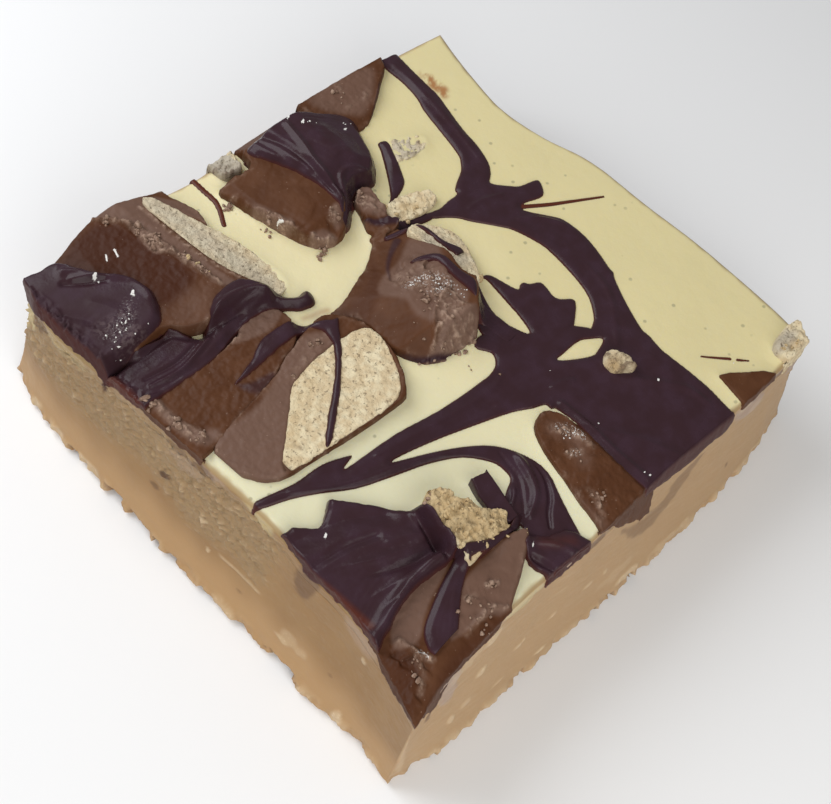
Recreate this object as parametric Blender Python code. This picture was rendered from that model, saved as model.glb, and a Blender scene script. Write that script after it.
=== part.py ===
"""A square of peanut butter fudge, topped with a cream layer that dark chocolate is marbled into.

Halves and chunks of chopped peanut butter cups are pressed into the topping and cut through at the
square's edges. Sizes in this file are in millimetres, and MM turns them into Blender's metres. X runs along
the front cut, Y from the front cut to the back one, and Z is the height above the table.
"""

import math

import bmesh
import bpy
from mathutils import Vector, noise

MM = 0.001
GAP = 0.3  # left between pieces that touch
TOP = 17.0  # the topping's surface
TOPPING = 1.7  # thickness of the cream layer
LIP = 0.8  # height of the frilly lip round the foot
EDGE_STEP = 2.4  # spacing of the points round the square
CHUNK_STEP = 2.6  # spacing of the points round a chunk
ABOVE = TOP + 20.0  # cutters reach up to here
RIM_ROUND = 0.35  # the cream's rounded upper edge
MITRE_LIMIT = 0.5  # keeps a sharp corner of a grown outline from running far out

# Torn and craggy surfaces are noise: amplitudes in millimetres, scales in waves per millimetre.
LIP_TEAR, SIDE_TEAR = 0.35, 0.45
TEAR_SCALE, TEAR_SCALE_UP = 0.35, 0.5
CRAG_SCALE = 0.45
SEED_STEP = 7.3  # how far apart the noise of two chunks is read

LEAST_RISE = 0.15  # a chunk's shoulder never sinks below the topping by more than its bevel less this
SHOULDER_WIDTH = 0.45  # a chunk's broken upper edge
TOP_RING_SHARES = (0.62, 0.22)  # rings of a chunk's top, as shares of the way to its outline
POOL_SHOULDER = 0.4  # share of a pool's height that its rounded shoulder takes
SHARP_ANGLE = math.radians(35)

# The square seen from above, one list of points for each cut side, from corner to corner.
TOP_SIDES = (
    ((-33.0, -32.2), (-27, -30.8), (-14, -30.2), (-4, -30.6), (8, -30.3), (20, -30.7), (32.0, -30.6)),
    ((32.0, -30.6), (33.7, -26), (34.0, -15), (33.4, -4), (32.9, 5), (31, 11.5), (30.1, 18), (31.2, 25),
     (32.9, 32)),
    ((32.9, 32), (27, 32.6), (17, 33.1), (5, 33.2), (-3, 32.6), (-11, 32.9), (-20, 33.6), (-27, 32),
     (-32.2, 31.2)),
    ((-32.2, 31.2), (-32.9, 25.5), (-32, 17), (-31.2, 9), (-30.4, 1), (-29.8, -7), (-30.2, -14),
     (-30.2, -20), (-31.2, -26), (-33.0, -32.2)),
)
FOOT_SIDES = (
    ((-34.9, -32.6), (-28, -33.7), (-12, -34.1), (2, -34.6), (17, -34.5), (27, -33.8), (34, -32.4)),
    ((34, -32.4), (35.9, -24), (36.4, -12), (35.8, 0), (34.6, 11), (34.2, 19), (35.2, 27), (34.8, 33.2)),
    ((34.8, 33.2), (24, 34.2), (8, 34.6), (-8, 34.2), (-20, 34.6), (-28, 34.3), (-34.6, 33.4)),
    ((-34.6, 33.4), (-36.2, 26), (-36.4, 12), (-36.1, 0), (-35.3, -10), (-35.2, -20), (-34.4, -27),
     (-34.9, -32.6)),
)
# How far each height leans from the top outline (0) to the foot's (1): the sides slump over the foot.
SIDE_PROFILE = ((0.0, 0.90), (LIP, 1.0), (2.0, 0.93), (4.5, 0.72), (8.0, 0.46), (11.5, 0.22), (TOP, 0.0))

# Pieces of chopped cup: outline, depth of the underside below the topping's surface, height of the top above
# it, and the slope of the top along X and Y.
LEFT_FILLING = ((-15.4, 31.2), (-12.6, 30.4), (-10.5, 26.5), (-9.4, 22), (-8.8, 17), (-9.4, 13.8),
                (-11.2, 14), (-13.6, 16.2), (-15, 21), (-15.8, 26))
LEFT_SHELL = ((-29.5, 17.5), (-24.5, 17.4), (-22.3, 15.8), (-19.8, 14.9), (-15, 14.2), (-12, 13.6),
              (-12.2, 19), (-12.4, 24), (-11.2, 29), (-12.4, 34), (-19, 35), (-25, 35), (-28.6, 33),
              (-30, 27))
BACK_CHUNK = ((-6.9, 29), (-6.6, 26.6), (-5.9, 23.5), (-4.6, 19), (-3.2, 15.9), (-1.5, 14.8), (0.8, 15.4),
              (3.2, 18.6), (4.4, 23), (4.6, 28), (4, 35), (-1, 35), (-1.8, 29.2), (-4.4, 28.8))
BACK_RIGHT_CHUNK = ((10, 35), (9.4, 29), (10.6, 26.4), (13.5, 25.8), (16, 27), (20.2, 30), (22.4, 32),
                    (22, 35))
MIDDLE_FILLING = ((5.4, 9.6), (7.4, 10.2), (9.8, 8.2), (10.6, 6), (8.6, 2.2), (7, -0.4), (5.8, 1.6), (6.6, 5))
MIDDLE_SHELL = ((-6.4, 0.6), (-5.4, -2.2), (-3, -4.4), (0, -6), (2.8, -4.8), (4.8, -2.4), (6.6, -0.6),
                (8.2, 2.4), (8.6, 6), (7, 9.6), (4.6, 11.4), (2, 11), (-1.6, 8.6), (-5.2, 6.8), (-6.6, 4))
UPPER_CRUMB = ((5.2, 13.6), (8.2, 11.8), (11.6, 11.6), (13, 12.6), (11.6, 14.4), (8.4, 15.2), (6.2, 15))
UPPER_CHUNK = ((2.4, 12.2), (4.8, 12.2), (4.6, 15.4), (7.2, 15.8), (6.6, 18), (4.6, 18), (3, 15.6))
LOWER_FILLING = ((-25.2, -3.9), (-22.3, -0.8), (-19.8, 1.5), (-17.4, 3.5), (-12, 4.4), (-6.8, 3.8), (-6.3, 1),
                 (-7.6, -2.4), (-9, -4.6), (-11, -5.4), (-16, -5.1), (-21, -4.7))
LOWER_SHELL = ((-29.4, 1), (-28.4, -1.8), (-26, -4.2), (-20, -4.9), (-11, -5.6), (-8.4, -4.8), (-6.2, 0),
               (-6.6, 4.6), (-8, 6.9), (-10.6, 8), (-14.4, 7), (-19, 5.4), (-24, 4.3), (-28.4, 3.4))
EDGE_CHUNK = ((-36, 4.6), (-28.8, 4.1), (-24, 5), (-19, 6.1), (-14.4, 7.8), (-12.4, 9.6), (-12.4, 11.8),
              (-14.4, 13), (-17, 13), (-19, 11.9), (-24, 11.5), (-36, 11.5))
CORNER_CHUNK = ((-36, -36), (-36, -25.4), (-29.2, -24.2), (-24, -22.8), (-19.8, -22.8), (-17, -24.2),
                (-10.8, -24.9), (-11.4, -26.4), (-14.4, -28.4), (-18.4, -31), (-19, -36))
STANDING_CRUMB = ((-17.2, -23.6), (-13.5, -24), (-11.2, -23.2), (-11.8, -21.4), (-13.4, -19.6),
                  (-14.6, -17.6), (-16.4, -17.6), (-17.4, -20))
DARK_SHARD = ((-10.9, -22.9), (-8.6, -22.4), (-7.6, -20.2), (-9.4, -18.9), (-11, -20.2), (-11.2, -21.4))
FRONT_CHUNK = ((-3.7, -36), (-3.8, -28.4), (-2.8, -24), (-2, -20), (-0.6, -17.2), (1.6, -16.6), (3, -18.6),
               (3.2, -24), (3, -36))
FLUSH_CHUNK = ((20.4, -36), (20.6, -27.6), (21.4, -26.6), (24, -28.4), (26.4, -30.6), (27, -36))
CORNER_CRUMB = ((28.4, -30.6), (28.6, -28.4), (31, -27.6), (33.4, -28), (33.2, -30.4))
POOL_CRUMB = ((10.4, -16.4), (12.8, -15.8), (14, -18.6), (13.6, -20), (12, -19), (10.6, -17.8))
PALE_CRUMB = ((-5.6, 32.4), (-5, 30), (-2.8, 29.8), (-2.2, 32.4))
SUNK_CRUMB = ((12.8, 19.4), (17, 18.8), (18.6, 20.2), (17, 21.6), (15, 22.4), (13.4, 21))

# Runs of dark chocolate: points of the middle line as x, y, half the width.
MARBLING = (
    ((24.2, 31.6, 1.3), (24, 28, 1.35), (23.2, 23, 1.3), (22.2, 18, 1.35), (20.3, 14, 1.7), (17.2, 11.2, 1.9),
     (13.5, 10.6, 1.2), (10.6, 11.4, 0.6)),
    ((13.8, 10, 1.2), (17, 8, 2.2), (19.2, 4, 2.2), (20.8, 0, 2.7), (20.8, -5, 2.5), (19.6, -9.5, 2.4),
     (17.8, -14, 2.6)),
    ((17, 8.6, 1.3), (20.8, 7.2, 1.4), (23.8, 6.2, 1.1)),
    ((17, -13, 1.8), (11, -11.9, 1.4), (5, -11, 1.4), (-3, -9.8, 1.1), (-10, -9.1, 1), (-16, -8.1, 1.1),
     (-21, -6.8, 1.3), (-25, -5.6, 0.9), (-29, -4.6, 0.5)),
    ((9, -13.2, 1.2), (4, -13.4, 1.5), (-1, -12.5, 1.1), (-6, -11.2, 0.9), (-12, -10, 0.6)),
    ((-22, -8.6, 0.6), (-15, -10.6, 0.9), (-9.6, -12.8, 1.1), (-6, -16, 1.5), (-4.8, -20, 1.7),
     (-6.2, -24, 2), (-8.4, -28, 2)),
    ((14.2, 22.4, 0.7), (12, 18.4, 0.8), (8.6, 15.9, 0.5)),
    ((5.6, -5.2, 1.5), (4.4, -8.2, 1.6), (5, -11, 1.4)),
)
MIDDLE_RUNS = (
    ((5.2, 6.6, 0.5), (6.8, 3.4, 0.6), (6.3, 0, 0.8), (4.6, -2.6, 0.9)),
    ((2.6, 10.4, 0.9), (4.4, 10.4, 0.8), (7.2, 8.6, 0.5), (8.4, 5.2, 0.7)),
)
LEFT_RUNS = (
    ((-22, 13.6, 1.4), (-18.4, 14.6, 1.7), (-15, 15.2, 1.8), (-12.2, 13.8, 1.5), (-9.8, 12, 1.1),
     (-7.8, 11.8, 1)),
)
LOWER_RUNS = (
    ((-20.5, 8.2, 0.7), (-17, 9.2, 1), (-13.2, 9, 1.1), (-10, 7.2, 0.8), (-9.2, 5.6, 0.6), (-12.6, 1.2, 0.6),
     (-19.4, -4.2, 0.4)),
)
CORNER_RUNS = (
    ((-17.6, -22.6, 0.6), (-21, -24, 1.1), (-24.2, -26.4, 1.5), (-26, -27.8, 0.8)),
)
# Pools and thick lobes of dark chocolate: closed outlines.
FRONT_POOL = ((19.6, -12.6), (18.6, -17), (18.5, -21), (18.9, -25), (19, -30), (16, -36), (3.6, -36),
              (3.4, -28), (3.8, -22), (4, -18.4), (2.6, -15.8), (0.2, -14), (5, -12.8), (8.2, -13.6),
              (11, -15), (14, -14.6))
SPIKY_PATCH = ((8.7, 0.2), (10.2, 0), (11.3, -2.8), (12.6, -3), (14.1, -4.3), (14.2, -6.6), (15.4, -8.4),
               (12, -12), (5, -11.4), (8.2, -8.4), (8.9, -4))
FOLDED_MASS = ((-29.4, -9), (-28, -9.6), (-26.4, -10.9), (-24.9, -9.9), (-23.5, -9.5), (-20.4, -12.8),
               (-17.6, -16.2), (-18.2, -19.6), (-18.6, -22), (-24, -22.2), (-29.2, -23.6), (-36, -24.6),
               (-36, -12))
FRONT_LOBE = ((-12.4, -27.6), (-10.4, -26), (-7, -25), (-4.4, -27), (-5.4, -36), (-12, -36), (-11, -29.4))
CRUST = ((-33.4, 25), (-32.6, 29.6), (-30.4, 31.6), (-27.6, 31), (-25.8, 27.6), (-23.4, 25), (-22.4, 21.6),
         (-23.4, 18.6), (-26, 17.2), (-32, 17.2), (-32.6, 20))
CRUST_BAND = ((-32.3, 17.6), (-25, 17.8), (-22.2, 16), (-19.6, 14.8), (-19.6, 12.9), (-22, 12.1),
              (-31.6, 12.1))
DRAPE = ((-0.4, 32.4), (4, 32.7), (8.6, 32.6), (9, 29), (8.8, 26.2), (10.6, 25), (10.4, 22), (9.2, 19.8),
         (7.9, 18.6), (6.2, 19.2), (4.4, 18.2), (2, 15.7), (0.8, 15.7), (1.8, 18), (1.8, 21), (1, 26))
# How high the pours stand above the topping.
RUN_HEIGHT = 0.75
FRONT_POOL_RISE, PATCH_RISE, FOLDED_RISE, LOBE_RISE = 0.7, 0.6, 1.9, 1.3
CRUST_RISE, BAND_RISE, DRAPE_RISE = 4.0, 1.7, 3.1

COLOURS = {
    "fudge": (0.43, 0.26, 0.13),
    "cream": (0.70, 0.64, 0.40),
    "milk": (0.105, 0.053, 0.032),
    "dark": (0.047, 0.021, 0.028),
    "filling": (0.48, 0.38, 0.23),
}
ROUGHNESS = {"fudge": 0.6, "cream": 0.35, "milk": 0.5, "dark": 0.25, "filling": 0.85}


def material(kind):
    """The shared material of one kind of chocolate, filling or fudge."""
    made = bpy.data.materials.get(kind)
    if made is None:
        made = bpy.data.materials.new(kind)
        made.use_nodes = True
        shader = made.node_tree.nodes["Principled BSDF"]
        shader.inputs["Base Color"].default_value = (*COLOURS[kind], 1.0)
        shader.inputs["Roughness"].default_value = ROUGHNESS[kind]
        shader.inputs["Metallic"].default_value = 0.0
    return made


def new_object(name, mesh, collection):
    made = bpy.data.objects.new(name, mesh)
    collection.objects.link(made)
    return made


def cutter_object(name, mesh, cutters):
    """An object that only shapes others: it is drawn as wire and never rendered."""
    made = new_object(name, mesh, cutters)
    made.hide_render = True
    made.display_type = "WIRE"
    return made


def spaced(points, step):
    """Points of a line through the given ones, about a step apart, without the last."""
    found = []
    for start, end in zip(points, points[1:]):
        start, end = Vector(start), Vector(end)
        count = max(1, round((end - start).length / step))
        found += [start.lerp(end, i / count) for i in range(count)]
    return found


def rounded_side(points, count):
    """A smooth cubic line through a side's points, read at equal steps along it, without its end."""
    knots = [Vector(p) for p in points]
    knots = [2 * knots[0] - knots[1]] + knots + [2 * knots[-1] - knots[-2]]
    spans = len(knots) - 3
    found = []
    for i in range(count):
        where = i / count * spans
        k = int(where)
        t = where - k
        a, b, c, d = knots[k : k + 4]
        found.append(0.5 * (2 * b + (c - a) * t + (2 * a - 5 * b + 4 * c - d) * t**2
                            + (3 * b - a - 3 * c + d) * t**3))
    return found


def square_outline(height):
    """The square's outline at a height, between the top outline and the foot's."""
    for (low, lean_low), (high, lean_high) in zip(SIDE_PROFILE, SIDE_PROFILE[1:]):
        if height <= high:
            lean = lean_low + (lean_high - lean_low) * (height - low) / (high - low)
            break
    else:
        lean = 0.0
    found = []
    for top_side, foot_side in zip(TOP_SIDES, FOOT_SIDES):
        count = round((Vector(top_side[0]) - Vector(top_side[-1])).length / EDGE_STEP)
        pairs = zip(rounded_side(top_side, count), rounded_side(foot_side, count))
        found += [a.lerp(b, lean) for a, b in pairs]
    return found


def grown(outline, by):
    """The outline with each side moved outwards by a distance, or inwards where it is negative."""
    points = [Vector(p[:2]) for p in outline]
    found = []
    for before, here, after in zip(points[-1:] + points[:-1], points, points[1:] + points[:1]):
        first, second = (here - before).normalized(), (after - here).normalized()
        side = Vector((first.y + second.y, -first.x - second.x)).normalized()
        found.append(here + side * by / max(MITRE_LIMIT, side.dot(Vector((second.y, -second.x)))))
    return found


def anticlockwise(outline):
    area = sum(a[0] * b[1] - b[0] * a[1] for a, b in zip(outline, outline[1:] + outline[:1]))
    return outline if area > 0 else outline[::-1]


def loft(rings):
    """A closed mesh through rings of points with equal counts, from the lowest up, with flat ends."""
    bm = bmesh.new()
    made = [[bm.verts.new(Vector(p) * MM) for p in ring] for ring in rings]
    bm.faces.new(made[0][::-1])
    for low, high in zip(made, made[1:]):
        for i in range(len(low)):
            j = (i + 1) % len(low)
            bm.faces.new((low[i], low[j], high[j], high[i]))
    bm.faces.new(made[-1])
    bmesh.ops.triangulate(bm, faces=bm.faces[:])
    mesh = bpy.data.meshes.new("loft")
    bm.to_mesh(mesh)
    bm.free()
    return mesh


def flat_ring(outline, height):
    return [(p[0], p[1], height) for p in outline]


def prism(outline, low, high):
    """A straight-sided mesh on a closed outline, between two heights."""
    outline = anticlockwise(list(outline))
    return loft([flat_ring(outline, low), flat_ring(outline, high)])


def apply_modifiers(obj):
    """Replaces the object's mesh by the one its modifiers make."""
    graph = bpy.context.evaluated_depsgraph_get()
    mesh = bpy.data.meshes.new_from_object(obj.evaluated_get(graph))
    obj.modifiers.clear()
    obj.data = mesh


def combine(obj, others, operation, solver="EXACT"):
    """One Boolean on a collection of meshes, applied, with the collection's objects then removed."""
    group = bpy.data.collections.new("joined")
    bpy.context.scene.collection.children.link(group)
    for mesh in others:
        cutter_object("joined", mesh, group)
    group.hide_render = True
    cut = obj.modifiers.new("join", "BOOLEAN")
    cut.operation = operation
    cut.operand_type = "COLLECTION"
    cut.collection = group
    cut.solver = solver
    apply_modifiers(obj)
    for other in list(group.objects):
        bpy.data.objects.remove(other)
    bpy.data.collections.remove(group)


def cut_pockets(obj, pockets):
    """Cuts the room of other pieces from an object. The exact solver leaves scraps where pockets overlap."""
    combine(obj, [mesh.copy() for mesh in pockets], "DIFFERENCE", solver="MANIFOLD")


def keep_largest(obj):
    """Drops loose scraps, such as a drip that a pocket cut off."""
    bm = bmesh.new()
    bm.from_mesh(obj.data)
    bmesh.ops.remove_doubles(bm, verts=bm.verts[:], dist=1e-7)
    left = set(bm.faces)
    bodies = []
    while left:
        body, edge = set(), [next(iter(left))]
        while edge:
            face = edge.pop()
            if face in left:
                left.remove(face)
                body.add(face)
                edge += [f for e in face.edges for f in e.link_faces if f in left]
        bodies.append(body)
    largest = max(bodies, key=lambda body: sum(f.calc_area() for f in body))
    bmesh.ops.delete(bm, geom=[f for f in bm.faces if f not in largest], context="FACES")
    loose = [v for v in bm.verts if not v.link_faces]
    bmesh.ops.delete(bm, geom=loose, context="VERTS")
    bm.to_mesh(obj.data)
    bm.free()


def run_mesh(points, floor, height):
    """A run of poured chocolate: a round curve through the points, pressed flat onto a floor."""
    curve = bpy.data.curves.new("run", "CURVE")
    curve.dimensions = "3D"
    curve.bevel_depth = MM
    curve.bevel_resolution = 2
    curve.resolution_u = 2
    curve.use_fill_caps = True
    spline = curve.splines.new("BEZIER")
    spline.bezier_points.add(len(points) - 1)
    for knot, (x, y, width) in zip(spline.bezier_points, points):
        knot.co = Vector((x, y, 0)) * MM
        knot.radius = width
        knot.handle_left_type = knot.handle_right_type = "AUTO"
    guide = bpy.data.objects.new("run", curve)
    bpy.context.scene.collection.objects.link(guide)
    graph = bpy.context.evaluated_depsgraph_get()
    mesh = bpy.data.meshes.new_from_object(guide.evaluated_get(graph))
    bpy.data.objects.remove(guide)
    bm = bmesh.new()
    bm.from_mesh(mesh)
    bmesh.ops.remove_doubles(bm, verts=bm.verts[:], dist=1e-6)
    widest = max(width for _, _, width in points) * MM
    for vert in bm.verts:
        vert.co.z = floor * MM + vert.co.z * height * MM / widest
    bmesh.ops.recalc_face_normals(bm, faces=bm.faces[:])
    bm.to_mesh(mesh)
    bm.free()
    return mesh


def pool_mesh(outline, low, high, inset=0.5):
    """A lobe or pool: a smooth outline with a shoulder that rounds in towards its top."""
    outline = anticlockwise(list(outline))
    knots = [Vector(p) for p in outline]
    smooth = []
    for k in range(len(knots)):
        a, b, c, d = (knots[(k + n) % len(knots)] for n in (-1, 0, 1, 2))
        halfway = (-a + 9 * b + 9 * c - d) / 16  # the same cubic's point halfway from b to c
        smooth += [b, halfway]
    shoulder = high - POOL_SHOULDER * (high - max(low, TOP))
    return loft([flat_ring(smooth, low), flat_ring(smooth, shoulder),
                 flat_ring(grown(smooth, -inset), high)])


def chunk_mesh(outline, depth, rise, slope, crag, seed):
    """A piece of chopped cup: straight walls below, and a craggy, sloping top with broken shoulders."""
    corners = anticlockwise(list(outline))
    outline = spaced(corners + corners[:1], CHUNK_STEP)
    middle = sum(outline, Vector((0, 0))) / len(outline)

    def top_ring(share, drop):
        ring = []
        for p in outline:
            q = middle.lerp(p, share)
            lean = slope[0] * (q.x - middle.x) + slope[1] * (q.y - middle.y)
            rough = crag * noise.noise(Vector((q.x * CRAG_SCALE, q.y * CRAG_SCALE, seed)))
            ring.append((q.x, q.y, TOP + max(LEAST_RISE - drop, rise + lean + rough - drop)))
        return ring

    size = max((p - middle).length for p in outline)
    shares = (1 - SHOULDER_WIDTH / size, *TOP_RING_SHARES)
    return loft([flat_ring(outline, TOP - depth), top_ring(1.0, SHOULDER_WIDTH),
                 *(top_ring(share, 0.0) for share in shares)])


def pocket_mesh(outline, depth):
    """The room that a pressed-in piece leaves, a gap larger than it."""
    outline = anticlockwise(list(outline))
    return prism(grown(outline, GAP), TOP - depth - GAP, ABOVE)


def square_column():
    """The square's upper sides carried on upwards: the knife cuts every piece at its edge here."""
    levels = (TOP - 12.0, TOP - 6.0, TOP)  # from below the deepest piece up to the topping
    rings = [flat_ring(square_outline(level), level) for level in levels]
    return loft(rings + [flat_ring(square_outline(TOP), ABOVE)])


def rough_ring(height, amount):
    """An outline of the square with its cut side torn a little in and out."""
    found = []
    for p in square_outline(height):
        tear = noise.noise(Vector((p.x * TEAR_SCALE, p.y * TEAR_SCALE, height * TEAR_SCALE_UP)))
        out = Vector((p.x, p.y)).normalized() * tear * amount
        found.append((p.x + out.x, p.y + out.y, height))
    return found


def fudge_base(pockets, parts):
    """The slab under the cream, with the room that the pressed-in pieces take cut from it."""
    low_rings = [flat_ring(square_outline(0.0), 0.0), rough_ring(LIP, LIP_TEAR)]
    side_rings = [rough_ring(height, SIDE_TEAR) for height, _ in SIDE_PROFILE[2:-1]]
    top = TOP - TOPPING - GAP
    top_ring = flat_ring(square_outline(top), top)
    base = new_object("fudge_base", loft(low_rings + side_rings + [top_ring]), parts)
    cut_pockets(base, pockets)
    keep_largest(base)
    return base


def white_topping(pockets, parts):
    """The cream layer, with the marbling and the pools of dark chocolate that lie on it fused on."""
    low, rim = TOP - TOPPING, TOP - RIM_ROUND
    rings = [flat_ring(square_outline(low), low), flat_ring(square_outline(rim), rim),
             flat_ring(grown(square_outline(TOP), -RIM_ROUND), TOP)]
    layer = new_object("white_topping", loft(rings), parts)
    pours = [run_mesh(points, TOP, RUN_HEIGHT) for points in MARBLING]
    pours += [pool_mesh(FRONT_POOL, TOP - 1.0, TOP + FRONT_POOL_RISE),
              pool_mesh(SPIKY_PATCH, TOP - 0.5, TOP + PATCH_RISE),
              pool_mesh(FOLDED_MASS, TOP - 1.2, TOP + FOLDED_RISE, inset=0.9),
              pool_mesh(FRONT_LOBE, TOP - 1.0, TOP + LOBE_RISE)]
    combine(layer, pours, "UNION")
    combine(layer, [square_column()], "INTERSECT")
    cut_pockets(layer, pockets)
    keep_largest(layer)
    return layer


def build():
    for old in list(bpy.data.objects):
        bpy.data.objects.remove(old)
    parts = bpy.data.collections.new("peanut_butter_fudge")
    bpy.context.scene.collection.children.link(parts)

    # Name, kind, outline, depth, rise, slope, crag.
    pieces = (
        ("left_cup_filling", "filling", LEFT_FILLING, 4.5, 1.5, (-0.42, 0.0), 0.25),
        ("left_cup_shell", "milk", LEFT_SHELL, 4.5, 2.6, (0.0, -0.02), 0.35),
        ("back_chunk", "milk", BACK_CHUNK, 4.5, 2.4, (0.0, -0.08), 0.4),
        ("back_right_chunk", "milk", BACK_RIGHT_CHUNK, 4.0, 0.9, (0.0, 0.0), 0.4),
        ("middle_cup_filling", "filling", MIDDLE_FILLING, 4.0, 1.8, (-0.2, 0.0), 0.4),
        ("middle_cup_shell", "milk", MIDDLE_SHELL, 4.5, 3.9, (0.0, 0.04), 0.7),
        ("upper_crumb", "filling", UPPER_CRUMB, 3.0, 1.0, (0.0, 0.0), 0.6),
        ("upper_chunk", "milk", UPPER_CHUNK, 3.0, 1.6, (0.0, 0.0), 0.6),
        ("lower_cup_filling", "filling", LOWER_FILLING, 4.5, 1.1, (0.03, 0.03), 0.3),
        ("lower_cup_shell", "milk", LOWER_SHELL, 4.5, 1.1, (0.04, 0.02), 0.3),
        ("edge_chunk", "milk", EDGE_CHUNK, 4.5, 0.8, (0.02, 0.0), 0.4),
        ("corner_chunk", "milk", CORNER_CHUNK, 4.8, 0.9, (0.0, 0.02), 0.5),
        ("standing_crumb", "filling", STANDING_CRUMB, 3.0, 4.2, (0.0, 0.0), 1.2),
        ("dark_shard", "dark", DARK_SHARD, 3.0, 2.6, (-0.3, 0.3), 0.3),
        ("front_chunk", "milk", FRONT_CHUNK, 6.0, 0.7, (0.0, 0.02), 0.4),
        ("flush_chunk", "milk", FLUSH_CHUNK, 3.0, 0.35, (0.0, 0.0), 0.1),
        ("corner_crumb", "filling", CORNER_CRUMB, 2.6, 1.4, (0.0, 0.0), 0.9),
        ("pool_crumb", "filling", POOL_CRUMB, 2.6, 1.7, (0.0, -0.1), 0.7),
        ("pale_crumb", "filling", PALE_CRUMB, 2.6, 1.7, (0.0, 0.0), 0.5),
        ("sunk_crumb", "filling", SUNK_CRUMB, 2.4, 0.4, (0.0, 0.0), 0.3),
    )
    # What is poured over a piece is fused to it. It hangs clear of the topping.
    over = TOP + GAP
    poured = {
        "left_cup_shell": [pool_mesh(CRUST, over, TOP + CRUST_RISE, inset=1.0),
                           pool_mesh(CRUST_BAND, over, TOP + BAND_RISE, inset=0.7),
                           *(run_mesh(points, TOP + 1.9, 1.2) for points in LEFT_RUNS)],
        "back_chunk": [pool_mesh(DRAPE, over, TOP + DRAPE_RISE, inset=0.3)],
        "middle_cup_shell": [run_mesh(points, TOP + 3.9, 0.7) for points in MIDDLE_RUNS],
        "lower_cup_shell": [run_mesh(points, TOP + 2.1, 0.55) for points in LOWER_RUNS],
        "corner_chunk": [run_mesh(points, TOP + 1.1, 0.8) for points in CORNER_RUNS],
    }

    pockets = []
    for name, kind, outline, depth, rise, slope, crag in pieces:
        seed = len(pockets) * SEED_STEP
        piece = new_object(name, chunk_mesh(outline, depth, rise, slope, crag, seed), parts)
        if name in poured:
            combine(piece, poured[name], "UNION")
        combine(piece, [square_column()], "INTERSECT")
        if pockets:
            cut_pockets(piece, pockets)
        keep_largest(piece)
        piece.data.materials.clear()
        piece.data.materials.append(material(kind))
        pockets.append(pocket_mesh(outline, depth))

    for made, kind in ((fudge_base(pockets, parts), "fudge"), (white_topping(pockets, parts), "cream")):
        made.data.materials.clear()
        made.data.materials.append(material(kind))
    for obj in parts.objects:
        obj.data.shade_smooth()
        obj.data.set_sharp_from_angle(angle=SHARP_ANGLE)


build()
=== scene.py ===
# %% [markdown]
# # A square of peanut butter fudge
#
# The real thing is poured and cut: a thick tan slab, a thin cream layer with dark chocolate pulled
# through it, and halves of chopped peanut butter cups pressed in before it set. The knife then went
# through slab, cream and cups alike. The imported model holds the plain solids. This file gives each
# of them its fine surface and its finish. Lengths are in millimetres until a mesh is made.

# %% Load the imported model
import math

import bmesh
import bpy
import numpy as np
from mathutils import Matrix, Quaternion, Vector
from mathutils.geometry import delaunay_2d_cdt


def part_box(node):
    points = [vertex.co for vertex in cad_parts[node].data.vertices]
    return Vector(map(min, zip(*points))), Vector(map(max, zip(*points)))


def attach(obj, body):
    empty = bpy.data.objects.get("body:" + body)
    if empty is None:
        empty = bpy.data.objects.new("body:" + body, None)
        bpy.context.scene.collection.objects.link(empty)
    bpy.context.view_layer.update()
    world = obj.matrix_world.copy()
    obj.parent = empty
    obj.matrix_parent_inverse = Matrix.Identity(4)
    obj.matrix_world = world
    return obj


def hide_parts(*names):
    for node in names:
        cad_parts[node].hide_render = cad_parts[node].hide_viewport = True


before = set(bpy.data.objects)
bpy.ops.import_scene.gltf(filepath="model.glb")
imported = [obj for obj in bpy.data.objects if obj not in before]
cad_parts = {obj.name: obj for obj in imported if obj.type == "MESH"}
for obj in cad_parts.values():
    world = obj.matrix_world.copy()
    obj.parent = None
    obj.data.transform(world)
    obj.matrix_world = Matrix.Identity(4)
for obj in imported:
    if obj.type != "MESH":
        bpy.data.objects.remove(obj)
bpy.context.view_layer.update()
MM = 0.001
TOPPING = 1.7  # thickness of the cream layer
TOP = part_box("white_topping")[0].z / MM + TOPPING  # height of the topping's surface

# %% [markdown]
# ## Camera, light and table
#
# The photo looks down from the front left corner. The square's own corners gave the camera: where it
# stands, the point it aims at and how far it is rolled. The light in the photo is soft and cool, from
# the back left, with hardly a shadow, so one large soft lamp and a bright surround stand in for it.

# %% Camera
CAMERA_AT = (-65.97, -46.31, 137.33)
CAMERA_AIM = (-8.38, -6.40, TOP)
CAMERA_ROLL = math.radians(13.38)
CAMERA_LENS = 54.93  # millimetres, on a 36 millimetre sensor


def aimed(place, target, roll=0.0):
    """A place in metres, and the turn that points an object's -Z from it at the target."""
    way = Vector(target) - Vector(place)
    return Vector(place) * MM, way.to_track_quat("-Z", "Y") @ Quaternion((0, 0, 1), roll)


camera = bpy.data.objects.new("camera", bpy.data.cameras.new("camera"))
bpy.context.scene.collection.objects.link(camera)
camera.data.lens, camera.data.sensor_width = CAMERA_LENS, 36.0
camera.data.clip_start = 0.01
camera.rotation_mode = "QUATERNION"
camera.location, camera.rotation_quaternion = aimed(CAMERA_AT, CAMERA_AIM, CAMERA_ROLL)
bpy.context.scene.camera = camera

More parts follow.
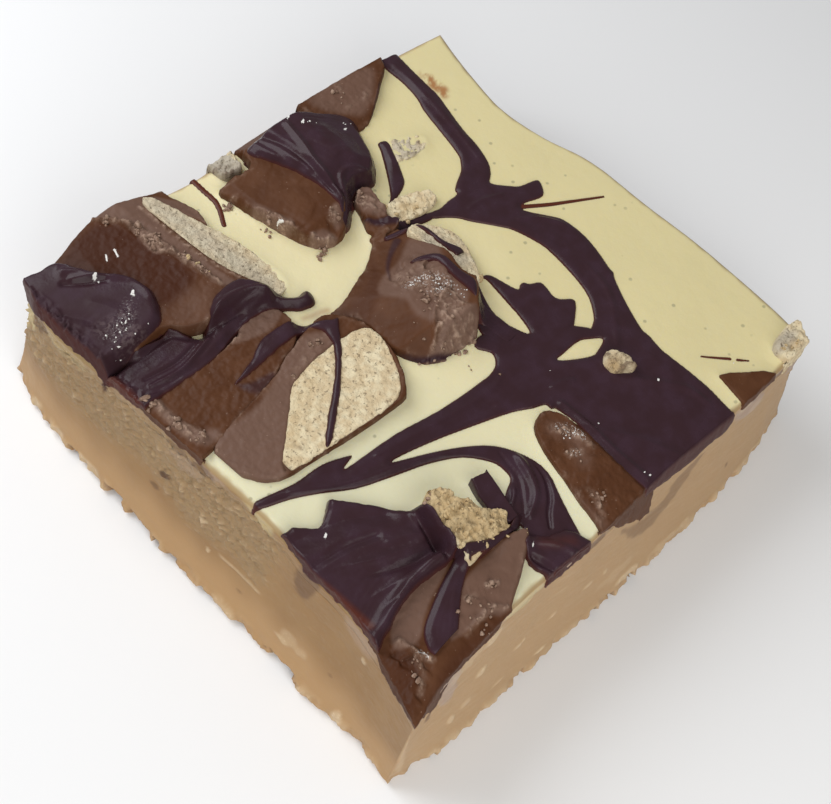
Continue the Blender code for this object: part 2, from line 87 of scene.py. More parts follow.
# %% Lamps and table
LAMPS = {  # place, width, power in watts, colour
    "window": ((-60, 170, 190), 190, 0.50, (0.95, 0.97, 1.0)),
    "front": ((-110, -170, 150), 200, 0.36, (1.0, 0.985, 0.96)),
}
for name, (place, width, power, colour) in LAMPS.items():
    lamp = bpy.data.objects.new(name, bpy.data.lights.new(name, "AREA"))
    bpy.context.scene.collection.objects.link(lamp)
    lamp.data.size, lamp.data.energy, lamp.data.color = width * MM, power, colour
    lamp.rotation_mode = "QUATERNION"
    lamp.location, lamp.rotation_quaternion = aimed(place, (0, 0, TOP))
world = bpy.data.worlds.new("surround")
world.use_nodes = True
world.node_tree.nodes["Background"].inputs["Color"].default_value = (1.0, 1.0, 1.0, 1.0)
world.node_tree.nodes["Background"].inputs["Strength"].default_value = 0.30
bpy.context.scene.world = world
bpy.context.scene.view_settings.view_transform = "Standard"
FLOOR_HALF = 400.0
floor_mesh = bpy.data.meshes.new("table")
floor_mesh.from_pydata([(x * FLOOR_HALF * MM, y * FLOOR_HALF * MM, 0.0)
                        for x, y in ((-1, -1), (1, -1), (1, 1), (-1, 1))], [], [(0, 1, 2, 3)])
table = bpy.data.objects.new("table", floor_mesh)
bpy.context.scene.collection.objects.link(table)

# %% [markdown]
# ## Noise
#
# Broken chocolate, torn fudge and crumb are uneven at several sizes at once. A gradient noise gives
# soft bumps: each corner of a lattice holds a random arrow, and a point blends what its eight corners
# say. Layers of it at halved sizes make a grain. A cell pattern gives flat chips with breaks between.

# %% Noise
SEED = 11
draw = np.random.default_rng(SEED)
SHUFFLE = draw.permutation(256)
ARROWS = draw.normal(size=(256, 3))
ARROWS /= np.linalg.norm(ARROWS, axis=1, keepdims=True)
SPOTS = draw.random((256, 2))


def noise(x, y, z=0.0, seed=0):
    """At the lattice corners round a point: each corner's arrow times the way from it, blended by
    the smooth weight 6t^5 - 15t^4 + 10t^3. About -1 to 1."""
    point = np.stack(np.broadcast_arrays(x, y, z)).astype(float)
    cell = np.floor(point)
    part = point - cell
    cell = cell.astype(int)
    blend = part ** 3 * (part * (part * 6 - 15) + 10)
    total = np.zeros(point.shape[1:])
    for corner in np.ndindex(2, 2, 2):
        pick = seed * 37
        weight = 1.0
        for axis in range(3):
            pick = SHUFFLE[(pick + cell[axis] + corner[axis]) & 255]
            weight = weight * (blend[axis] if corner[axis] else 1 - blend[axis])
        arrow = ARROWS[pick]
        total += weight * sum(arrow[..., axis] * (part[axis] - corner[axis]) for axis in range(3))
    return total * 1.6


def grain(x, y, z=0.0, size=1.0, layers=3, seed=0):
    """Noise of the given size plus finer layers, each half as large and half as strong."""
    return sum(noise(x * 2 ** n / size, y * 2 ** n / size, z * 2 ** n / size, seed + n) / 2 ** n
               for n in range(layers))


def chips(x, y, size, seed=0):
    """Cells round scattered points, each a little tilted plane of its own height. A point blends the
    planes by weights that fall off fast with the distance to each cell's spot. About -1 to 1."""
    px, py = x / size, y / size
    home_x, home_y = np.floor(px).astype(int), np.floor(py).astype(int)
    level, total = np.zeros(px.shape), np.full(px.shape, 1e-9)
    for step_x, step_y in np.ndindex(3, 3):
        cell_x, cell_y = home_x + step_x - 1, home_y + step_y - 1
        pick = SHUFFLE[(SHUFFLE[(cell_x + seed * 29) & 255] + cell_y) & 255]
        way_x, way_y = px - cell_x - SPOTS[pick, 0], py - cell_y - SPOTS[pick, 1]
        weight = np.exp(-14 * (way_x ** 2 + way_y ** 2))
        level += weight * (ARROWS[pick, 0] * way_x + ARROWS[pick, 1] * way_y + 0.5 * ARROWS[pick, 2])
        total += weight
    return level / total


def ramped(value, low, high):
    """0 at low, 1 at high, and a smooth 3t^2 - 2t^3 between."""
    t = np.clip((value - low) / (high - low), 0, 1)
    return t * t * (3 - 2 * t)


print("noise from", round(noise(*np.mgrid[0:9:.1, 0:9:.1]).min(), 2), "to",
      round(noise(*np.mgrid[0:9:.1, 0:9:.1]).max(), 2))

# %% [markdown]
# ## Outlines and how deep a point lies inside them
#
# Every pour and every chunk starts as an outline seen from above. The distance from its edge then
# shapes everything else: a bead's round shoulder, a chunk's broken rim, ridges that follow a pour.
# Points traced on the photo are measured on the topping's plane. What stands above it looks too far
# from the camera there, so such a point is moved back along the line of sight.

# %% Outlines
def smooth(points, per=4, closed=True):
    """A curve through the points: each span is the cubic whose ends slope as their neighbours lie."""
    knots = np.array(points, float)
    if closed:
        knots = np.vstack([knots[-1:], knots, knots[:2]])
    else:
        knots = np.vstack([2 * knots[0] - knots[1], knots, 2 * knots[-1] - knots[-2]])
    t = np.arange(per)[None, :, None] / per
    a, b, c, d = (knots[n:len(knots) - 3 + n, None, :] for n in range(4))
    spans = 0.5 * (2 * b + (c - a) * t + (2 * a - 5 * b + 4 * c - d) * t ** 2
                   + (3 * b - a - 3 * c + d) * t ** 3)
    curve = spans.reshape(-1, knots.shape[1])
    return curve if closed else np.vstack([curve, knots[-2:-1]])


def sighted(points, rise):
    """Where points traced on the topping's plane really are, when they lie this far above it."""
    points = np.array(points, float)
    sight = (points[:, :2] - CAMERA_AT[:2]) / (CAMERA_AT[2] - TOP)
    points[:, :2] -= rise * sight
    return points


def inside(x, y, outline, reach=3.0):
    """Distance to a closed outline, positive inside: the least distance to its sides, signed by how
    often a line to the right crosses them. Past the reach it stays at minus the reach."""
    outline = np.asarray(outline, float)[:, :2]
    low, high = outline.min(0) - reach, outline.max(0) + reach
    near = (x > low[0]) & (x < high[0]) & (y > low[1]) & (y < high[1])
    px, py = x[near], y[near]
    nearest = np.full(px.shape, reach ** 2 * 4)
    within = np.zeros(px.shape, bool)
    for (ax, ay), (bx, by) in zip(outline, np.roll(outline, -1, 0)):
        dx, dy = bx - ax, by - ay
        along = np.clip(((px - ax) * dx + (py - ay) * dy) / max(dx * dx + dy * dy, 1e-12), 0, 1)
        nearest = np.minimum(nearest, (px - ax - along * dx) ** 2 + (py - ay - along * dy) ** 2)
        if dy:
            within ^= ((ay > py) != (by > py)) & (px < ax + (py - ay) * dx / dy)
    found = np.full(x.shape, -reach)
    found[near] = np.maximum(np.where(within, 1, -1) * np.sqrt(nearest), -reach)
    return found


def along_run(x, y, points, reach=2.0):
    """How deep a point lies inside a run of changing width: the half width there less the distance
    to the middle line, the deepest over all its stretches. Points are x, y, half width."""
    points = np.asarray(points, float)
    low, high = points[:, :2].min(0) - reach, points[:, :2].max(0) + reach
    near = (x > low[0]) & (x < high[0]) & (y > low[1]) & (y < high[1])
    px, py = x[near], y[near]
    deepest = np.full(px.shape, -reach)
    for (ax, ay, aw), (bx, by, bw) in zip(points, points[1:]):
        dx, dy = bx - ax, by - ay
        along = np.clip(((px - ax) * dx + (py - ay) * dy) / max(dx * dx + dy * dy, 1e-12), 0, 1)
        away = np.hypot(px - ax - along * dx, py - ay - along * dy)
        deepest = np.maximum(deepest, aw + (bw - aw) * along - away)
    found = np.full(x.shape, -reach)
    found[near] = deepest
    return found


def bead(depth, width, height):
    """The cross-section of a thick pour: a quarter circle from its edge in to the width, flat from
    there on. Outside the edge it drops away at three to one, under what it lies on."""
    share = np.clip(depth / width, 0, 1)
    return height * np.sqrt(1 - (1 - share) ** 2) + 3.0 * np.minimum(depth, 0)


# %% [markdown]
# ## The square
#
# The knife left four wavy sides, and the slab slumped, so the foot is wider than the top. One table
# of points runs round the top and another round the foot. The top is then covered by a patch: a grid
# of u and v whose rim is exactly the cut outline, so a piece that was cut with the slab ends there.

# %% The square's sides
TOP_SIDES = (
    ((-33.0, -32.2), (-27, -30.8), (-14, -30.2), (-4, -30.6), (8, -30.3), (20, -30.7), (32.0, -30.6)),
    ((32.0, -30.6), (33.7, -26), (34.0, -15), (33.4, -4), (32.9, 5), (31, 11.5), (30.1, 18), (31.2, 25),
     (32.9, 32)),
    ((32.9, 32), (27, 32.6), (17, 33.1), (5, 33.2), (-3, 32.6), (-11, 32.9), (-20, 33.6), (-27, 32),
     (-32.2, 31.2)),
    ((-32.2, 31.2), (-32.9, 25.5), (-32, 17), (-31.2, 9), (-30.4, 1), (-29.8, -7), (-30.2, -14),
     (-30.2, -20), (-31.2, -26), (-33.0, -32.2)))
FOOT_SIDES = (
    ((-34.9, -32.6), (-28, -33.7), (-12, -34.1), (2, -34.6), (17, -34.5), (27, -33.8), (34, -32.4)),
    ((34, -32.4), (35.9, -24), (36.4, -12), (35.8, 0), (34.6, 11), (34.2, 19), (35.2, 27), (34.8, 33.2)),
    ((34.8, 33.2), (24, 34.2), (8, 34.6), (-8, 34.2), (-20, 34.6), (-28, 34.3), (-34.6, 33.4)),
    ((-34.6, 33.4), (-36.2, 26), (-36.4, 12), (-36.1, 0), (-35.3, -10), (-35.2, -20), (-34.4, -27),
     (-34.9, -32.6)))
# How far each height leans from the top outline (0) to the foot's (1).
SIDE_PROFILE = ((0.0, 0.90), (0.8, 1.0), (2.0, 0.93), (4.5, 0.72), (8.0, 0.46), (11.5, 0.22), (TOP, 0.0))
PER_SIDE = 400  # table entries along each side
TOP_WIDTH = 65.0  # of the top, near enough to turn millimetres into u and v


def round_table(sides):
    """The four sides as one table of points at equal steps along each, from 0 to 4 round the square."""
    found = []
    for side in sides:
        curve = smooth(side, 40, closed=False)
        walked = np.concatenate([[0], np.cumsum(np.hypot(*np.diff(curve, axis=0).T))])
        steps = np.linspace(0, walked[-1], PER_SIDE + 1)[:-1]
        found.append(np.stack([np.interp(steps, walked, curve[:, n]) for n in (0, 1)], 1))
    return np.vstack([*found, found[0][:1]])


RIM_TABLE, FOOT_TABLE = round_table(TOP_SIDES), round_table(FOOT_SIDES)
NORMAL_SPAN = 8  # table entries each way that a side's outward direction is averaged over
way_round = np.roll(RIM_TABLE[:-1], -NORMAL_SPAN, 0) - np.roll(RIM_TABLE[:-1], NORMAL_SPAN, 0)
OUT_TABLE = np.stack([way_round[:, 1], -way_round[:, 0]], 1) / np.hypot(*way_round.T)[:, None]
OUT_TABLE = np.vstack([OUT_TABLE, OUT_TABLE[:1]])


def read_round(table, s):
    """A table's x and y at places round the square: 0 to 1 front, 1 to 2 right, 2 to 3 back, 3 to 4 left."""
    place = np.mod(s, 4) * PER_SIDE
    return tuple(np.interp(place, np.arange(len(table)), table[:, n]) for n in (0, 1))


def side_point(s, z, out=0.0):
    """A point of the cut side: the rim and foot outlines blended by the profile at its height, moved
    outwards by a distance."""
    lean = np.interp(z, *zip(*SIDE_PROFILE))
    (rim_x, rim_y), (foot_x, foot_y) = read_round(RIM_TABLE, s), read_round(FOOT_TABLE, s)
    out_x, out_y = read_round(OUT_TABLE, s)
    return (rim_x + (foot_x - rim_x) * lean + out_x * out,
            rim_y + (foot_y - rim_y) * lean + out_y * out)


def patch(u, v):
    """The top as a grid: opposite rims blended both ways, less the blend of the four corners that
    was counted twice."""
    u, v = u[None, :], v[:, None]
    found = []
    for n in (0, 1):
        front, back = read_round(RIM_TABLE, u)[n], read_round(RIM_TABLE, 3 - u)[n]
        left, right = read_round(RIM_TABLE, 4 - v)[n], read_round(RIM_TABLE, 1 + v)[n]
        c = [read_round(RIM_TABLE, s)[n] for s in range(4)]
        corners = (1 - v) * ((1 - u) * c[0] + u * c[1]) + v * ((1 - u) * c[3] + u * c[2])
        found.append((1 - v) * front + v * back + (1 - u) * left + u * right - corners)
    return tuple(found)


def patch_part(low, high, step):
    """The u and v of the patch over a region of the top given by two corners, a step apart. A region
    that reaches past the square is ended at its rim."""
    ends = [np.clip((np.array([low[n], high[n]]) + TOP_WIDTH / 2) / TOP_WIDTH, 0, 1) for n in (0, 1)]
    return tuple(np.linspace(a, b, max(8, int(round((b - a) * TOP_WIDTH / step)))) for a, b in ends)


print("rim", np.round(RIM_TABLE.min(0), 1), np.round(RIM_TABLE.max(0), 1))

# %% [markdown]
# ## One builder for everything that lies on top
#
# Cream, pours and chunks all are a height over the patch. The builder keeps the cells that a piece
# covers, closes it underneath and joins the two with walls. Along the cut outline the walls follow
# the slab's side and take a torn surface of their own. Elsewhere a piece's edge drops under what it
# lies on before its cells end, so the line where two pieces meet is smooth.

# %% The slab builder
SIDE_ROUGH_SIZE = 1.1
CURL_IN, CURL_FROM = 0.9, 0.82  # how far a wall's lower edge curls in, and from where down the wall


def mesh_object(name, vertices, faces, attributes):
    """A smooth shaded object at the origin, from vertices in millimetres and arrays of faces, each
    with one face to a row, with numbers stored at its points."""
    loops = np.concatenate([part.ravel() for part in faces])
    sizes = np.concatenate([np.full(len(part), part.shape[1]) for part in faces])
    mesh = bpy.data.meshes.new(name)
    mesh.vertices.add(len(vertices))
    mesh.vertices.foreach_set("co", (vertices * MM).astype(np.float32).ravel())
    mesh.loops.add(len(loops))
    mesh.loops.foreach_set("vertex_index", loops.astype(np.int32))
    mesh.polygons.add(len(sizes))
    mesh.polygons.foreach_set("loop_start", (np.cumsum(sizes) - sizes).astype(np.int32))
    mesh.update(calc_edges=True)
    mesh.validate()
    mesh.shade_smooth()
    for label, values in attributes.items():
        layer = mesh.attributes.new(label, "FLOAT", "POINT")
        layer.data.foreach_set("value", np.asarray(values, np.float32).ravel())
    made = bpy.data.objects.new(name, mesh)
    bpy.context.scene.collection.objects.link(made)
    return made


def without_pinches(cells):
    """Fills a cell wherever two kept cells touch at a corner only, which no closed surface can do. One
    filled cell can make another such corner, so it goes round a few times."""
    cells = cells.copy()
    for _ in range(4):
        a, b, c, d = cells[:-1, :-1], cells[:-1, 1:], cells[1:, :-1], cells[1:, 1:]
        cells[:-1, :-1] |= b & c & ~a & ~d
        cells[:-1, 1:] |= a & d & ~b & ~c
    return cells


def slab(name, u, v, top, keep, floor, values, out=0.0, rough=0.1, shift=None, rows=10, skin=None):
    """A closed body over the patch. Its top is the height given at each grid point. It has a cell
    where any corner is kept. The floor is the height of its underside at the edge. Along the cut
    outline the wall stands out by a distance, with torn relief, and curls in at its lower edge. A
    skin is a function that gives the wall there its relief and its values instead."""
    x, y = patch(u, v)
    if shift is not None:
        free = ((u > 0) & (u < 1))[None, :] & ((v > 0) & (v < 1))[:, None]
        x, y = x + shift[0] * free, y + shift[1] * free
    cells = without_pinches(keep[:-1, :-1] | keep[1:, :-1] | keep[:-1, 1:] | keep[1:, 1:])
    number = np.arange(x.size).reshape(x.shape)
    corners = np.stack([number[:-1, :-1], number[:-1, 1:], number[1:, 1:], number[1:, :-1]], -1)
    padded = np.pad(cells, 1)
    beyond = (padded[:-2, 1:-1], padded[1:-1, 2:], padded[2:, 1:-1], padded[1:-1, :-2])
    sides = np.vstack([corners[cells & ~next_cell][:, [n, (n + 1) % 4]]
                       for n, next_cell in enumerate(beyond)])
    rim = np.unique(sides)
    place = np.full(x.size, -1)
    place[rim] = np.arange(len(rim))
    j, i = np.divmod(rim, x.shape[1])
    s = np.select([v[j] == 0, u[i] == 1, v[j] == 1, u[i] == 0], [u[i], 1 + v[j], 3 - u[i], 4 - v[j]], -1.0)
    rim_x, rim_y, high = x.ravel()[rim], y.ravel()[rim], top.ravel()[rim]
    low = np.minimum(np.broadcast_to(floor, x.shape).ravel()[rim], high - 0.05)
    out = np.broadcast_to(out, x.shape).ravel()[rim]
    points = [np.stack([x, y, top], -1).reshape(-1, 3)]
    worn = []
    for row in range(1, rows + 1):
        share = row / rows
        z = high + (low - high) * share
        if skin is None:
            stand = out + rough * grain(rim_x, rim_y, z, SIDE_ROUGH_SIZE, 3, 5)
            stand = stand * ramped(share, 0, 0.12) - CURL_IN * ramped(share, CURL_FROM, 1)
        else:
            fields, stand = skin(s, z)
            stand = stand * ramped(share, 0, 0.3)
            worn.append(fields)
        side_x, side_y = side_point(s, z, stand)
        points.append(np.stack([np.where(s < 0, rim_x, side_x), np.where(s < 0, rim_y, side_y), z], -1))
    first, second = place[sides].T
    levels = x.size + np.arange(-1, rows)[:, None] * len(rim) + np.arange(len(rim))
    levels[0] = rim
    walls = [np.stack([levels[n + 1][first], levels[n + 1][second], levels[n][second], levels[n][first]], -1)
             for n in range(rows)]
    # The underside spans the rim's points. It is found on the plain grid, where no two sides cross.
    spots = [Vector(spot) for spot in zip(i.tolist(), j.tolist())]
    edges = list(zip(first.tolist(), second.tolist()))
    _, _, under, origin, _, _ = delaunay_2d_cdt(spots, edges, [], 5, 1e-6)
    under = levels[rows][np.array([ids[0] for ids in origin])[np.array(under)]][:, ::-1]
    vertices, quads = np.vstack(points), np.vstack([corners[cells], *walls])
    used = np.zeros(len(vertices), bool)
    used[quads] = True
    renumber = np.cumsum(used) - 1
    kept = {"cut": np.concatenate([np.zeros(x.size), *[s >= 0] * rows])[used]}
    for label, field in values.items():
        field = np.broadcast_to(field, x.shape).ravel()
        down = [fields[label] for fields in worn] if worn and label in worn[0] else [field[rim]] * rows
        kept[label] = np.concatenate([field, *down])[used]
    made = mesh_object(name, vertices[used], (renumber[quads], renumber[under]), kept)
    print(f"{name}: {2 * len(quads) + len(under)} triangles, top at {top[keep].max():.1f} mm")
    return made


# %% [markdown]
# ## Shader sums as Python
#
# A material here is written as a sum. The class wraps one socket, so that `1 - mask * 0.5` adds the
# Math nodes for it. Colours are mixed with Mix nodes. Any other node comes from one method.

# %% A wrapped socket
class Wire:
    """One output of a material's node, or with no socket the bare tree. Operators add Math nodes."""

    def __init__(self, tree, socket=None):
        self.tree, self.socket = tree, socket

    def node(self, kind, settings=None, sockets=None, output=0):
        """Adds a node: its settings first, then the values or links of its sockets. Gives one of its
        outputs."""
        made = self.tree.nodes.new(kind)
        for label, value in (settings or {}).items():
            setattr(made, label, value)
        for label, value in (sockets or {}).items():
            if isinstance(value, Wire):
                self.tree.links.new(value.socket, made.inputs[label])
            else:
                made.inputs[label].default_value = value
        return Wire(self.tree, made.outputs[output])

    def sum(self, operation, *terms):
        return self.node("ShaderNodeMath", {"operation": operation}, dict(enumerate(terms)))

    def __add__(self, other):
        return self.sum("ADD", self, other)

    def __sub__(self, other):
        return self.sum("SUBTRACT", self, other)

    def __rsub__(self, other):
        return self.sum("SUBTRACT", other, self)

    def __mul__(self, other):
        return self.sum("MULTIPLY", self, other)

    __radd__, __rmul__ = __add__, __mul__

    def between(self, low, high):
        """0 at low, 1 at high, smooth between."""
        return self.node("ShaderNodeMapRange", {"interpolation_type": "SMOOTHSTEP"},
                         {"Value": self, "From Min": low, "From Max": high})

    def mix(self, first, second):
        """The first colour where this is 0, the second where it is 1."""
        first, second = ((*c, 1.0) if isinstance(c, tuple) else c for c in (first, second))
        return self.node("ShaderNodeMix", {"data_type": "RGBA"}, {0: self, 6: first, 7: second}, 2)


def start_material(name, **fixed):
    """A new material with its shader's fixed sockets set: the wrapped tree, its place in space in
    millimetres, and its shader."""
    made = bpy.data.materials.new(name)
    made.use_nodes = True
    shader = made.node_tree.nodes["Principled BSDF"]
    for label, value in fixed.items():
        shader.inputs[label.replace("_", " ")].default_value = value
    tree = Wire(made.node_tree)
    place = tree.node("ShaderNodeTexCoord", output=3)
    place = tree.node("ShaderNodeMapping", None, {"Vector": place, "Scale": (1 / MM,) * 3})
    return made, tree, place, shader


def stored(tree, label):
    """A number stored at the points of the mesh."""
    return tree.node("ShaderNodeAttribute", {"attribute_name": label}, output=2)


def tinted(tree, colour, **tints):
    """The colour with one tint after another mixed in, each by the number stored under its name."""
    for label, tint in tints.items():
        colour = stored(tree, label).mix(colour, tint)
    return colour


def mottle(tree, place, size, detail=2.0):
    """Noise with patches of about this size, around a half."""
    return tree.node("ShaderNodeTexNoise", None, {"Vector": place, "Scale": 1 / size, "Detail": detail})


def finish_material(tree, shader, colour, roughness=None, bump=None, depth=0.1):
    """Links a material's colour, and its roughness and bump where they vary."""
    tree.tree.links.new(colour.socket, shader.inputs["Base Color"])
    if roughness is not None:
        tree.tree.links.new(roughness.socket, shader.inputs["Roughness"])
    if bump is not None:
        lifted = tree.node("ShaderNodeBump", None, {"Height": bump, "Distance": depth * MM})
        tree.tree.links.new(lifted.socket, shader.inputs["Normal"])


# %% [markdown]
# ## Chocolate, cream and fudge
#
# Dark chocolate is almost black with a plum tint, glossy, and red-brown where it is thin. The milk
# chocolate of the cups is matt where it was moulded and pale where it was scuffed. The fudge is a
# warm tan where the knife pressed it smooth and greyer where it tore. Each finish mixes its colours
# by numbers stored on the mesh, so the same sums serve every piece.

# %% Dark chocolate
DARK, DARK_BLUE, DARK_THIN = (0.038, 0.0165, 0.0210), (0.045, 0.0215, 0.031), (0.095, 0.023, 0.012)
DARK_CUT, DARK_BLOOM, SPARK = (0.070, 0.021, 0.017), (0.17, 0.125, 0.125), (0.80, 0.78, 0.74)


def sparks(tree, place):
    """Pale crystals and painted glints: spots in a patch marked up to one, all of a place that is
    marked well above.
    """
    spots = mottle(tree, place, 0.24, 2.0).between(0.56, 0.63)
    return stored(tree, "spark") * spots + stored(tree, "spark").between(1.1, 1.5)


def dark_chocolate():
    made, tree, place, shader = start_material("dark_chocolate", Specular_IOR_Level=0.16)
    cloud = mottle(tree, place, 2.2, 3.0)
    colour = cloud.between(0.35, 0.75).mix(DARK, DARK_BLUE)
    colour = (stored(tree, "cut") * 0.8).mix(colour, DARK_CUT)
    colour = stored(tree, "thin").mix(colour, DARK_THIN)
    scuff = stored(tree, "scuff") * mottle(tree, place, 0.5, 3.0).between(0.42, 0.62)
    colour = scuff.mix(colour, DARK_BLOOM)
    colour = sparks(tree, place).mix(colour, SPARK)
    roughness = 0.20 + cloud * 0.12 + scuff * 0.3 + stored(tree, "cut") * 0.25 + stored(tree, "tone") * 0.3
    bump = mottle(tree, place, 1.4, 3.0) * 0.6 + mottle(tree, place, 0.3, 2.0) * (0.1 + stored(tree, "scuff"))
    finish_material(tree, shader, colour, roughness, bump)
    return made


# %% Milk chocolate
MILK, MILK_WARM, MILK_DEEP = (0.082, 0.030, 0.0120), (0.104, 0.041, 0.0180), (0.056, 0.0165, 0.0065)
MILK_GREY, MILK_SCUFF = (0.152, 0.085, 0.060), (0.38, 0.262, 0.195)


def milk_chocolate():
    made, tree, place, shader = start_material("milk_chocolate", Specular_IOR_Level=0.13)
    cloud = mottle(tree, place, 3.5, 3.0)
    colour = tinted(tree, cloud.between(0.35, 0.7).mix(MILK, MILK_WARM), deep=MILK_DEEP, tone=MILK_GREY)
    flecks = mottle(tree, place, 0.45, 4.0).between(0.42, 0.62)
    scuff = stored(tree, "scuff") * (0.45 + flecks * 0.55)
    colour = scuff.mix(colour, MILK_SCUFF)
    spots = mottle(tree, place, 0.3, 1.0).between(0.76, 0.80) * 0.4
    colour = spots.mix(colour, MILK_SCUFF)
    # A dark film of chocolate, and along some undercut edges painted shadow.
    colour = stored(tree, "film_and_shadow").mix(colour, DARK)
    colour = sparks(tree, place).mix(colour, SPARK)
    roughness = 0.44 + cloud * 0.1 + scuff * 0.2 - stored(tree, "film_and_shadow") * 0.15
    bump = mottle(tree, place, 0.45, 4.0) * (0.15 + stored(tree, "scuff"))
    finish_material(tree, shader, colour, roughness, bump, 0.12)
    return made


# %% Peanut filling
FILLING, FILLING_PALE, FILLING_DARK = (0.62, 0.49, 0.305), (0.74, 0.635, 0.43), (0.12, 0.068, 0.044)
FILLING_GREY, FILLING_WARM = (0.49, 0.435, 0.345), (0.52, 0.365, 0.175)


def peanut_filling():
    made, tree, place, shader = start_material("peanut_filling", Roughness=0.85, Specular_IOR_Level=0.25)
    cloud = mottle(tree, place, 1.1, 4.0)
    colour = cloud.between(0.38, 0.64).mix(FILLING, FILLING_PALE)
    colour = tinted(tree, colour, tone=FILLING_GREY, warm=FILLING_WARM)
    # Dark spots in the pores: painted shade in the hollows.
    pore_shade = mottle(tree, place, 0.42, 2.0).between(0.60, 0.70) * 0.55
    colour = pore_shade.mix(colour, FILLING_DARK)
    colour = (stored(tree, "scuff") * 0.8).mix(colour, FILLING_DARK)
    bump = mottle(tree, place, 0.35, 4.0) - pore_shade * 0.5
    finish_material(tree, shader, colour, None, bump, 0.22)
    return made


# %% Cream and fudge
CREAM, CREAM_LIGHT, CREAM_COOL = (0.705, 0.615, 0.335), (0.765, 0.685, 0.415), (0.705, 0.690, 0.490)
TAN, TAN_DEEP, TAN_LOW = (0.325, 0.189, 0.078), (0.287, 0.160, 0.063), (0.435, 0.262, 0.120)
TAN_FRONT, TAN_ROUGH, CREAMY = (0.470, 0.308, 0.166), (0.330, 0.222, 0.115), (0.55, 0.44, 0.235)
GREY, FLAKE_AND_HIGHLIGHT, STAIN_AND_SHADOW = (0.40, 0.285, 0.21), (0.66, 0.51, 0.33), (0.070, 0.024, 0.012)
SPECK, SMEAR = (0.26, 0.25, 0.15), (0.36, 0.14, 0.04)


def fudge_colour(tree, place):
    """Tan, brighter low down, greyer and flecked where it tore, and marked where cream or chocolate was
    dragged along. The pale marks carry painted highlights on torn bumps, and the dark stains carry
    painted shadow in the foot's gaps."""
    cloud = mottle(tree, place, 5.0, 3.0)
    colour = tinted(tree, cloud.between(0.3, 0.75).mix(TAN_DEEP, TAN), low=TAN_LOW)
    colour = (stored(tree, "front") * 0.8).mix(colour, TAN_FRONT)
    colour = (stored(tree, "torn") * 0.8).mix(colour, TAN_ROUGH)
    colour = tinted(tree, colour, creamy=CREAMY, grey=GREY)
    flecks = mottle(tree, place, 0.5, 3.0).between(0.5, 0.72)
    # Pale flakes, and painted highlights on the outer bumps of the torn curls and the frill.
    colour = (stored(tree, "pale") * (0.6 + flecks * 0.4)).mix(colour, FLAKE_AND_HIGHLIGHT)
    # Stains, and painted shadow in the gaps under the foot.
    return stored(tree, "stain_and_shadow").mix(colour, STAIN_AND_SHADOW)


def fudge():
    made, tree, place, shader = start_material(
        "fudge", Subsurface_Weight=0.12, Subsurface_Radius=(1.0, 0.5, 0.25),
        Subsurface_Scale=0.0012, Specular_IOR_Level=0.4)
    bump = mottle(tree, place, 0.6, 4.0) * (0.25 + stored(tree, "torn"))
    roughness = 0.45 + mottle(tree, place, 1.0) * 0.2
    finish_material(tree, shader, fudge_colour(tree, place), roughness, bump, 0.12)
    return made


def cream():
    made, tree, place, shader = start_material(
        "cream", Subsurface_Weight=0.2, Subsurface_Radius=(1.0, 0.8, 0.4),
        Subsurface_Scale=0.0012, Specular_IOR_Level=0.35)
    # The light tint is painted light: the top is drawn lighter towards its left.
    colour = tinted(tree, CREAM, light=CREAM_LIGHT, cool=CREAM_COOL)
    specks = tree.node("ShaderNodeTexVoronoi", None, {"Vector": place, "Scale": 0.45})
    specks = (1 - specks.between(0.06, 0.14)) * mottle(tree, place, 7.0, 0.0).between(0.45, 0.55)
    colour = (specks * 0.55).mix(colour, SPECK)
    colour = tinted(tree, colour, smear=SMEAR, side=fudge_colour(tree, place))
    bump = mottle(tree, place, 1.2, 3.0) - specks * 0.4
    finish_material(tree, shader, colour, 0.34 + mottle(tree, place, 1.5) * 0.1, bump, 0.05)
    return made


FINISHES = {"dark": dark_chocolate(), "milk": milk_chocolate(), "filling": peanut_filling(),
            "fudge": fudge(), "cream": cream()}


def dress(piece, finish, *nodes):
    """Gives a piece its finish, lets it ride on the square and hides the solids that it stands for."""
    piece.data.materials.append(FINISHES[finish])
    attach(piece, "root")
    if nodes:
        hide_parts(*nodes)


# %% [markdown]
# ## Chunks of chopped cup
#
# A chopped chunk is a few broken planes: its height is the lowest of them, so that they meet in
# ridges. Chips and grain roughen it, a shoulder rounds over, and the walls are steep. Its outline is
# nibbled. Marks are patches or strokes that lift it, scuff it or tint it where the photo shows a
# ridge, a pale scrape, a grey face or a film of dark chocolate. Some dark marks along undercut edges
# are painted shadow, and some pale spots are painted glints.

# %% Chunk heights
def stroke(x, y, points):
    """How deep a point lies inside a run along the curve through its points."""
    return along_run(x, y, smooth(points, 4, closed=False) if len(points) > 2 else points)


def marked(x, y, marks, kind, rise):
    """The sum of one kind of mark. Each has an amount, a soft edge and points traced on the topping's
    plane: x and y go round a patch, x, y and half width run along a stroke."""
    total = np.zeros(x.shape)
    for label, amount, soft, points in marks:
        if label == kind:
            points = sighted(points, rise)
            patch_like = points.shape[1] == 2
            depth = inside(x, y, smooth(points, 3)) if patch_like else stroke(x, y, points)
            total += amount * ramped(depth, -soft, soft)
    return total


SHOULDER = 0.22  # width over which a chunk's edge rounds over
FACET_SOFT = 0.05  # height over which two planes are blended where they meet
CRUMB_RISE = 0.18  # height of the crumbs that a scuffed place carries
FILM_RISE = 0.15  # thickness of a film of dark chocolate
UNDER_FILLING = 0.55  # how far a shell stays under the filling that it holds


def planes(x, y, facets):
    """The lowest of several planes, blended where they are nearly level with each other. Each plane is
    a place, its height there and its slopes."""
    heights = [h + sx * (x - px) + sy * (y - py) for px, py, h, sx, sy in facets]
    return -FACET_SOFT * np.log(sum(np.exp(-h / FACET_SOFT) for h in heights))


